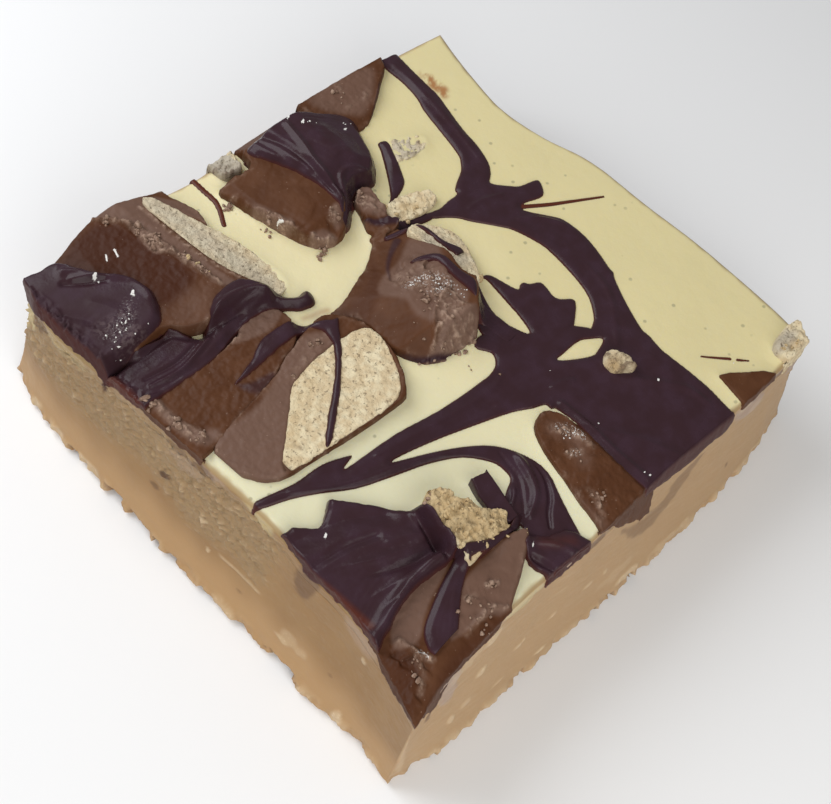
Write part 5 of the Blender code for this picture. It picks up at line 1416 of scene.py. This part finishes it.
# %% Pours
POURS = {
    "folded_mass": dict(
        nodes=("white_topping",), rise=1.7, width=0.9, size=0.14, seen=1.6, pull=0.03,
        foot=((-26, 16.8), (-20, 16.7), (-17, 16.6), (-15.5, 16.6), (-14.2, 15.6), (-13, 15.4),
              (-12.5, 16.4), (-9, 16.8)),
        outline=((-36, -9.4), (-29.4, -9), (-28.2, -9.3), (-26.6, -10.8), (-25.2, -10.2), (-24.2, -9.4),
                 (-23.4, -9.4), (-21, -12.2), (-19, -14.8), (-17.7, -16.4), (-17.5, -18.6), (-17.8, -20),
                 (-18.2, -22.4), (-20.6, -22.6), (-24, -22.4), (-27, -23.1), (-29.6, -24), (-36, -25.2)),
        marks=(
            ("lift", -0.9, 0.35, (
                (-17.6, -15.6, 0.05), (-18.2, -18.4, 0.25), (-18.7, -21, 0.35), (-18.4, -23.5, 0.4))),
            ("lift", 0.35, 0.7, (
                (-28, -15, -0.6), (-24.8, -17, 0.3), (-22, -18.2, 0.35), (-19.4, -18.9, 0.2))),
            ("lift", -0.6, 0.6, (
                (-28, -17, -0.6), (-24, -19, 0.1), (-20.5, -20.2, 0.3), (-18.7, -20.6, 0.4))),
            ("lift", 0.35, 0.6, (
                (-29, -19.6, -0.6), (-24, -20.5, 0.2), (-20, -21.3, 0.3), (-18.4, -21.8, 0.2))),
            ("lift", -0.6, 0.5, ((-29, -21.4, -0.5), (-23, -22.1, 0.1), (-19, -22.8, 0.25))),
            ("lift", 0.3, 0.6, ((-29, -23.6, -0.4), (-25, -23.6, 0.1), (-21, -23.4, 0.2))),
            ("lift", 0.3, 0.8, ((-22, -16.6, 0.0), (-19.6, -17.6, 0.4), (-18.8, -18.4, 0.3))),
            ("lift", -0.7, 1.6, ((-29, -10, 1.0), (-24, -11.4, 0.8), (-20, -14, 0.4))),
            ("lift", -0.35, 0.5, ((-29.4, -13.6, 0.2), (-26, -14, 0.3), (-22.4, -15.2, 0.3))),
            ("spark", 2.0, 0.08, ((-26.4, -11.8, 0.16), (-26.1, -11.6, 0.12))),
            ("thin", 0.8, 0.4, ((-30.6, -11, 0.3), (-30.8, -14, 0.7), (-30, -17, 0.4), (-29.6, -22, 0.4))))),
    "front_lobe": dict(
        nodes=("white_topping",), rise=0.9, width=1.1, size=0.13, seen=0.8,
        outline=((-11.5, -26), (-10.2, -25.9), (-8.8, -27.1), (-6.2, -28.7), (-5.8, -36), (-11.8, -36),
                 (-12.2, -30.1), (-12.6, -28.8), (-12.4, -27.2)),
        marks=(
            ("lift", -0.6, 0.35, ((-11.8, -27.4, 0.2), (-11.3, -28.8, 0.35), (-11, -30, 0.2))),
            ("lift", 0.3, 0.4, ((-10.2, -26.8, 0.2), (-8.8, -28.2, 0.3), (-8, -30, 0.3))),
            ("thin", 0.35, 0.8, ((-9.6, -27.2, 0.6), (-7.2, -29.2, 0.5))),
            ("spark", 2.0, 0.08, ((-11, -26.9, 0.1), (-10.7, -26.7, 0.1))))),
    "crust": dict(
        nodes=("left_cup_shell",), rise=0.9, level=2.7, width=1.3, seen=3.0, pull=0.0,
        foot=((12, 16.6), (15, 16.6), (16.8, 15.8), (17.3, 14.2), (18, 15.5), (19.5, 16.8), (23, 16.6),
              (27, 16.8), (28.5, 15.5), (29.5, 14.5), (32, 15)),
        outline=((-36, 25), (-36, 31.6), (-30.4, 31.6), (-27.6, 31), (-25.8, 27.6), (-23.4, 25),
                 (-22.4, 21.6), (-23.4, 18.6), (-26, 17.2), (-36, 17.2)),
        marks=(
            ("lift", 0.35, 0.5, (
                (-27.4, 29.4, 0.3), (-24.4, 27.6, 0.35), (-22.2, 25.4, 0.4), (-21.9, 22.4, 0.4))),
            ("lift", -0.4, 0.45, ((-28.6, 29.6, 0.2), (-26.6, 28.3, 0.3), (-24.6, 27.2, 0.15))),
            ("lift", 0.45, 0.7, ((-27.6, 31, 0.4), (-26, 29.6, 0.5), (-25.2, 28.4, 0.4))),
            ("lift", -0.35, 0.8, ((-31, 26.4, 0.2), (-29.4, 24.4, 0.5), (-28.4, 22, 0.3))),
            ("lift", 0.25, 0.8, ((-27.6, 25.6, 0.3), (-26.4, 23.4, 0.6), (-26.4, 21, 0.3))),
            ("rough", 0.25, 1.2, ((-29.6, 23, 1.0), (-27, 21.6, 1.4), (-25.4, 22.4, 0.6))),
            ("rough", 0.25, 1.0, ((-29.6, 19.6, 0.8), (-27, 18.8, 0.6))),
            ("tone", 1.0, 0.8, (
                (-36, 17), (-36, 30), (-29, 30), (-26, 26), (-23.4, 24), (-23.6, 19), (-26, 17))),
            ("scuff", 0.5, 0.9, ((-28.4, 19.4, 0.6), (-26.2, 19.6, 0.7))),
            ("scuff", 0.45, 0.9, ((-29, 22.4, 0.6), (-26.6, 21.6, 1.0), (-24.8, 22.6, 0.4))),
            ("spark", 0.3, 1.2, ((-29, 21, 0.2), (-26.8, 21.2, 0.5), (-24.4, 23, 0.2))),
            ("spark", 2.0, 0.08, ((-25.5, 28, 0.2), (-25.1, 28.2, 0.14))),
            ("spark", 2.0, 0.08, ((-23.5, 23.8, 0.2), (-23.2, 24.1, 0.16))),
            ("rough", 1.0, 0.6, ((-32.4, 31, 0.8), (-32, 26, 1.0), (-32, 20, 0.9), (-31, 15, 0.8))),
            ("thin", 0.8, 0.6, ((-33, 31, 0.6), (-33, 26, 0.8), (-32.4, 20, 0.6), (-31.8, 15, 0.6))))),
    "swoosh": dict(
        nodes=("left_cup_shell",), rise=0.8, level=0.5, width=1.1, seen=1.5, pull=0.03,
        foot=((10.5, 16.6), (12, 16.6), (14, 16), (15, 16.6), (16.8, 15.8), (18, 16.5)),
        outline=sighted(((-36, 17.6), (-30.5, 17.8), (-24.5, 17.8), (-23, 17.6), (-21.8, 16), (-20.6, 15.2),
                         (-19.4, 15.6), (-17.5, 17.2), (-15, 17.8), (-13, 17.3), (-11, 15.2), (-9.5, 13.4),
                         (-8.5, 12.9), (-7.4, 13), (-7.05, 12.2), (-7.5, 11.2), (-8.4, 10.9), (-9.6, 11.3),
                         (-10.8, 12.2), (-12.4, 13), (-14, 13.4), (-17, 13.3), (-19, 12.8), (-20.5, 12.3),
                         (-22, 12), (-25, 11.9), (-29, 12), (-36, 12)), 1.5),
        marks=(
            ("lift", 0.35, 0.3, ((-29, 13.5, 0.15), (-25, 13.1, 0.25), (-20.5, 14.3, 0.2))),
            ("lift", -0.25, 0.25, ((-29, 14.6, 0.1), (-25, 14.2, 0.2), (-21.5, 14.9, 0.12))),
            ("lift", 0.35, 0.35, (
                (-19.5, 15.5, 0.15), (-16.5, 16.1, 0.3), (-13.5, 15.6, 0.2), (-11, 13.6, 0.1))),
            ("lift", -0.25, 0.25, ((-18.5, 15.1, 0.1), (-15.5, 15.2, 0.15), (-13, 15, 0.1))),
            ("lift", 0.2, 0.3, ((-18, 14.5, 0.1), (-15, 14.3, 0.2), (-12.5, 14.2, 0.1))),
            ("rough", 0.6, 0.6, ((-31.4, 18, 0.6), (-31, 13, 0.6))),
            ("thin", 0.8, 0.5, ((-31.8, 18, 0.5), (-31.4, 13, 0.5))))),
    "drape": dict(
        nodes=("back_chunk",), rise=0.5, width=0.8, seen=3.0, pull=0.03,
        facets=((4.5, 26, 3.3, 0.05, 0.0), (9, 26, 2.3, -0.42, 0.0), (1.6, 26, 2.9, 0.5, 0.0),
                (6, 20, 2.3, -0.1, 0.35)),
        outline=((-1.5, 30.6), (0, 31.3), (2.6, 31.7), (5.4, 31.7), (7.6, 31.3), (9.4, 30.4), (11.4, 29.4),
                 (12.7, 27.6), (12.6, 25.6), (12.2, 24.2), (11.6, 22.6), (10.8, 20.9), (9.6, 19.4),
                 (8, 18.5), (6.2, 19), (4.4, 18), (2, 15.7), (0.8, 15.7), (1.8, 18), (1.8, 21), (1.2, 24),
                 (0.2, 27), (-0.8, 29)),
        marks=(
            ("lift", 0.4, 0.5, (
                (6.1, 32, 0.2), (5.6, 28.4, 0.3), (5, 25.6, 0.3), (4.6, 22, 0.2), (4.2, 19.6, 0.15))),
            ("lift", -0.45, 0.5, ((2.6, 33.6, 0.2), (3.8, 30, 0.25), (4.2, 26, 0.25), (4, 21, 0.15))),
            ("lift", 0.3, 1.2, ((9.6, 29, 0.2), (10, 26, 0.8), (9.6, 23.4, 0.6))),
            ("lift", 0.3, 0.35, ((1.4, 33, 0.3), (2, 29.6, 0.4), (2.8, 25, 0.4), (3.2, 20.6, 0.2))),
            ("lift", -1.0, 0.6, ((7.8, 20.9, 0.25), (6.8, 20.7, 0.15))),
            ("lift", 0.35, 0.35, ((5.4, 20.6, 0.2), (6.4, 22.2, 0.3), (8.2, 22.4, 0.3), (9.6, 21.2, 0.2))),
            ("spark", 2.0, 0.08, ((7.9, 31, 0.14), (8.1, 31.1, 0.12))),
            ("spark", 2.0, 0.08, ((6.9, 32.6, 0.14), (7.1, 32.7, 0.12))),
            ("spark", 2.0, 0.08, ((12.1, 27.8, 0.16), (12.4, 27.9, 0.12))))),
}
RUNS = {
    "lower_run": dict(
        nodes=("lower_cup_shell",), rise=0.4, seen=1.5, pull=0.06,
        outline=((-22.6, 7.4), (-19.5, 8.5), (-17.4, 9.6), (-15.6, 10), (-12.6, 10), (-11.6, 9),
                 (-10.4, 7.6), (-9, 6.7), (-8.4, 6.4), (-9.2, 5.4), (-10.4, 3.6), (-12.2, 1.6),
                 (-14.6, -0.8), (-17, -2.8), (-19.6, -4.8), (-19.9, -4.4), (-17.6, -2.2), (-15.2, -0.2),
                 (-13, 1.8), (-11.4, 3.8), (-10.8, 5.6), (-11, 6.6), (-11.8, 7.6), (-14, 8), (-18.4, 7.6))),
    "corner_run": dict(
        nodes=("corner_chunk",), rise=0.45, width=1.1, seen=1.1,
        points=((-17.8, -23.2, 0.7), (-21, -24.7, 1.1), (-23.4, -26.2, 1.5), (-25, -27.3, 1.7),
                (-25.9, -28, 1.3))),
    "crumb_shadow": dict(
        nodes=("corner_chunk",), rise=0.3, seen=0.8,
        points=((-18.2, -23, 0.7), (-15, -24.1, 0.5), (-11.6, -24.3, 0.45), (-9.6, -23.6, 0.4),
                (-8.4, -24.4, 0.2))),
    "middle_run": dict(
        nodes=("middle_cup_shell",), rise=0.4, width=0.6, seen=3.2,
        points=((2.6, 6.2, 0.2), (3.6, 5.8, 0.4), (5, 4.5, 0.55), (5.1, 1.3, 0.7), (5.5, -1.4, 0.9),
                (5.6, -4.2, 1.2), (5.9, -7.1, 1.2))),
    "upper_run": dict(
        nodes=("middle_cup_shell",), rise=0.35, width=0.4, seen=3.0,
        points=((3.6, 11.3, 0.3), (4.8, 10.9, 0.4), (6.8, 10.4, 0.35), (7.6, 8.6, 0.35), (7.7, 6.4, 0.4),
                (8.4, 4.4, 0.8))),
}


def pour_form(x, y, pour):
    """Depth in from the edge, the ground under it and the height: a heap inside an outline, or along a
    run. The ground is first filled up to a level or to a few planes, as thick chocolate bridges it."""
    marks, seen = pour.get("marks", ()), pour["seen"]
    if "outline" in pour:
        depth = inside(x, y, smooth(pour["outline"], 3)) + 0.1 * grain(x, y, 0, 1.5, 2, 31)
    else:
        depth = along_run(x, y, smooth(pour["points"], 5, closed=False))
    under = read_raster(draped, x, y)
    filled = planes(x, y, pour["facets"]) if "facets" in pour else pour.get("level", -1.0)
    fill = np.maximum(filled - under, 0) * ramped(depth, 0, 1.0)
    torn = 0.5 * grain(x, y, 0, 0.9, 4, 35) + 0.3 * chips(x, y, 0.9, 36)
    lift = marked(x, y, marks, "lift", seen) + marked(x, y, marks, "rough", seen) * torn
    lift = lift + pour.get("pull", 0.05) * noise(depth / 0.5, x / 6, y / 6, 33)
    heap = bead(depth, pour.get("width", 0.6), pour["rise"])
    return depth, under, under + fill + heap + lift * ramped(depth, 0.0, 0.6)


def make_pour(name, pour):
    """Builds one pour or run over its own part of the patch and dresses it."""
    ends = np.array(pour.get("outline", pour.get("points")))[:, :2]
    u, v = patch_part(ends.min(0) - 2.0, ends.max(0) + 2.0, pour.get("size", 0.12))
    x, y = patch(u, v)
    depth, under, height = pour_form(x, y, pour)
    low = TOP + under - 2.4
    if "foot" in pour:
        low = np.where(x < -28, traced_foot(x, y, y, pour["foot"], 0.3), low)
    tints = {kind: np.clip(marked(x, y, pour.get("marks", ()), kind, pour["seen"]), 0, most)
             for kind, most in (("thin", 0.9), ("scuff", 1.0), ("tone", 1.0), ("spark", 2.0))}
    tints["thin"] = np.maximum(0.5 * (1 - ramped(depth, 0.0, 0.2)), tints["thin"])
    made = slab(name, u, v, TOP + height, depth > -0.35, low, tints, proud(depth), 0.15)
    dress(made, "dark", *pour["nodes"])


for name, pour in {**POURS, **RUNS}.items():
    make_pour(name, pour)

# %% [markdown]
# ## Scattered crumbs
#
# Chopping leaves crumbs: flakes of milk chocolate along broken edges, white crystals where sugar
# shows, and bits of filling. Some white lumps on the dark pool and the front chunk are painted
# glints. Each kind is one mesh of many small lumps. A lump starts as a ball of twenty triangles, and
# is stretched, dented and turned at random, then seated on what lies under it.

# %% The surface that crumbs lie on
depth, thread, height = marbling_form(raster_x, raster_y)
surface = np.maximum(ground, np.where(np.maximum(depth, thread) > 0, height, -9))
for pour in {**POURS, **RUNS}.values():
    depth, _, height = pour_form(raster_x, raster_y, pour)
    surface = np.where(depth > 0, np.maximum(surface, height), surface)
print("surface up to", round(surface.max(), 2), "mm above the topping")

# %% Crumbs
GOLDEN = (1 + 5 ** 0.5) / 2
edge_points = np.array([(0, a, b * GOLDEN) for a in (-1, 1) for b in (-1, 1)])
BIT_POINTS = np.vstack([np.roll(edge_points, n, 1) for n in range(3)]) / math.hypot(1, GOLDEN)
gaps = np.linalg.norm(BIT_POINTS[:, None] - BIT_POINTS, axis=2)
touch = (gaps > 0.1) & (gaps < 1.1)
a, b, c = np.nonzero(touch[:, :, None] & touch[None] & touch[:, None, :])
outward = (BIT_POINTS[a] * np.cross(BIT_POINTS[b], BIT_POINTS[c])).sum(1) > 0
BIT_FACES = np.stack([a, b, c], 1)[(a < b) & (a < c) & outward]
print("a crumb has", len(BIT_FACES), "triangles")
# Each patch of crumbs: x and y as traced, the height it was traced at, spread, how many, radius.
CRUMBS = {
    "milk_crumbs": ("milk", {"scuff": 1.0}, (
        (-19.6, 34, 2.6, 0.4, 7, 0.26), (-17.4, 30.6, 2.6, 0.5, 9, 0.3), (-17, 28, 2.6, 0.7, 14, 0.34),
        (-15.9, 24.4, 2.4, 0.45, 9, 0.26), (-15.4, 21, 2.2, 0.35, 6, 0.22), (-30.4, 12, 1.4, 0.5, 9, 0.34),
        (-30, 8, 1.0, 0.5, 9, 0.28), (-28.8, 5, 1.0, 0.6, 8, 0.28), (-6, 28.4, 2.4, 0.5, 8, 0.3),
        (-4.6, 23, 2.4, 0.5, 10, 0.28), (-1.6, 16.4, 2.4, 0.6, 12, 0.26), (1.8, 18.2, 2.4, 0.5, 7, 0.24),
        (3.4, 3.2, 3.9, 1.6, 26, 0.24), (0, -2, 3.6, 1.2, 9, 0.24), (2, -5, 2.4, 1.4, 9, 0.24),
        (-16.6, 4.5, 1.2, 0.4, 4, 0.24), (-12, 6.2, 1.2, 0.6, 6, 0.24), (-20.4, -26.6, 1.1, 0.3, 4, 0.26),
        (-17.4, -26.8, 1.1, 0.4, 5, 0.24), (-20.6, -28.9, 1.1, 1.3, 14, 0.22),
        (-29, -28.2, 1.0, 0.8, 9, 0.26), (2, -20, 0.9, 0.7, 12, 0.22), (0.6, -22.2, 0.9, 0.5, 6, 0.2),
        (-1.6, -27.5, 0.9, 0.6, 6, 0.22), (6.2, 18.2, 1.9, 0.6, 8, 0.24), (15, 32, 1.0, 0.8, 6, 0.22),
        (-15.6, -15.8, 3.4, 0.4, 4, 0.28))),
    # Sugar crystals, and painted glints: the lumps on the dark pool and the front chunk are glints.
    "crystals_and_glints": ("milk", {"spark": 2.0}, (
        (-26.6, 21.2, 3.6, 1.3, 16, 0.11), (-28.6, 20.2, 3.6, 0.8, 7, 0.1), (-23.4, 23.9, 3.4, 0.2, 3, 0.14),
        (-25.3, 28, 3.6, 0.2, 2, 0.15), (3, 5.4, 3.9, 0.5, 8, 0.12), (4.8, 3.6, 3.9, 0.6, 10, 0.12),
        (4.4, 2.4, 3.9, 0.5, 6, 0.11), (6, 0.6, 3.6, 0.4, 4, 0.1), (8, 31, 3.4, 0.3, 3, 0.15),
        (9, 30.5, 3.2, 0.3, 3, 0.13), (12.2, 27.8, 1.6, 0.3, 3, 0.15), (7, 32.6, 3.4, 0.3, 2, 0.15),
        (5.6, -21.4, 0.5, 0.1, 1, 0.17), (15.1, -22.1, 0.5, 0.1, 1, 0.17), (5, -29.3, 0.5, 0.3, 2, 0.14),
        (6.4, -13.2, 0.5, 0.1, 1, 0.14), (2.2, -20.2, 1.0, 0.6, 8, 0.13), (24, -26.4, 0.4, 0.1, 1, 0.15))),
    "filling_crumbs": ("filling", {"warm": 0.7}, (
        (-15.8, 23.8, 2.3, 0.15, 2, 0.3), (-15.5, 22.3, 2.2, 0.15, 2, 0.26),
        (-15.4, 20.5, 2.0, 0.15, 2, 0.24), (9, 1, 2.0, 0.4, 4, 0.24), (-14, -19.6, 3.6, 1.8, 14, 0.26),
        (-13, -22.6, 2.4, 1.4, 8, 0.24), (-10, -24.6, 0.6, 0.5, 2, 0.16), (9, 13.4, 1.6, 1.6, 8, 0.22),
        (31, -29, 1.6, 1.0, 6, 0.24))),
}


def scatter(name, finish, values, patches, seed):
    """Lumps round each patch's middle: the ball's points times a dent, a stretch and a turn, plus the
    place, where the surface's height and a little of the lump's own radius set how high it lies."""
    random = np.random.default_rng(seed)
    rows = np.repeat(np.array(patches, float), [patch_row[4] for patch_row in patches], 0)
    count = len(rows)
    x, y = (np.concatenate([sighted(((px, py),), rise) for px, py, rise in rows[:, :3]])
            + random.normal(size=(count, 2)) * rows[:, 3:4] * 0.8).T
    radius = rows[:, 5] * np.exp(0.3 * random.normal(size=count))
    turns = np.linalg.qr(random.normal(size=(count, 3, 3)))[0]
    turns *= np.linalg.det(turns)[:, None, None]
    lumps = BIT_POINTS * random.uniform(0.6, 1.35, (count, 12, 1)) * random.uniform(0.4, 1.15, (count, 1, 3))
    lumps = (lumps @ turns) * radius[:, None, None]
    seat = np.stack([x, y, TOP + read_raster(surface, x, y) + 0.25 * radius], 1)
    faces = (BIT_FACES + 12 * np.arange(count)[:, None, None]).reshape(-1, 3)
    points = (lumps + seat[:, None]).reshape(-1, 3)
    stamped = {label: np.full(len(points), value) for label, value in values.items()}
    dress(mesh_object(name, points, (faces,), stamped), finish)
    print(f"{name}: {count} crumbs")


for number, (name, (finish, values, patches)) in enumerate(CRUMBS.items()):
    scatter(name, finish, values, patches, number)

# %% Table and finish
TABLE_GREY, TABLE_PALE = (0.86, 0.86, 0.86), (0.88, 0.88, 0.88)
made, tree, place, shader = start_material("table", Roughness=0.6)
finish_material(tree, shader, mottle(tree, place, 60.0).mix(TABLE_GREY, TABLE_PALE))
table.data.materials.append(made)
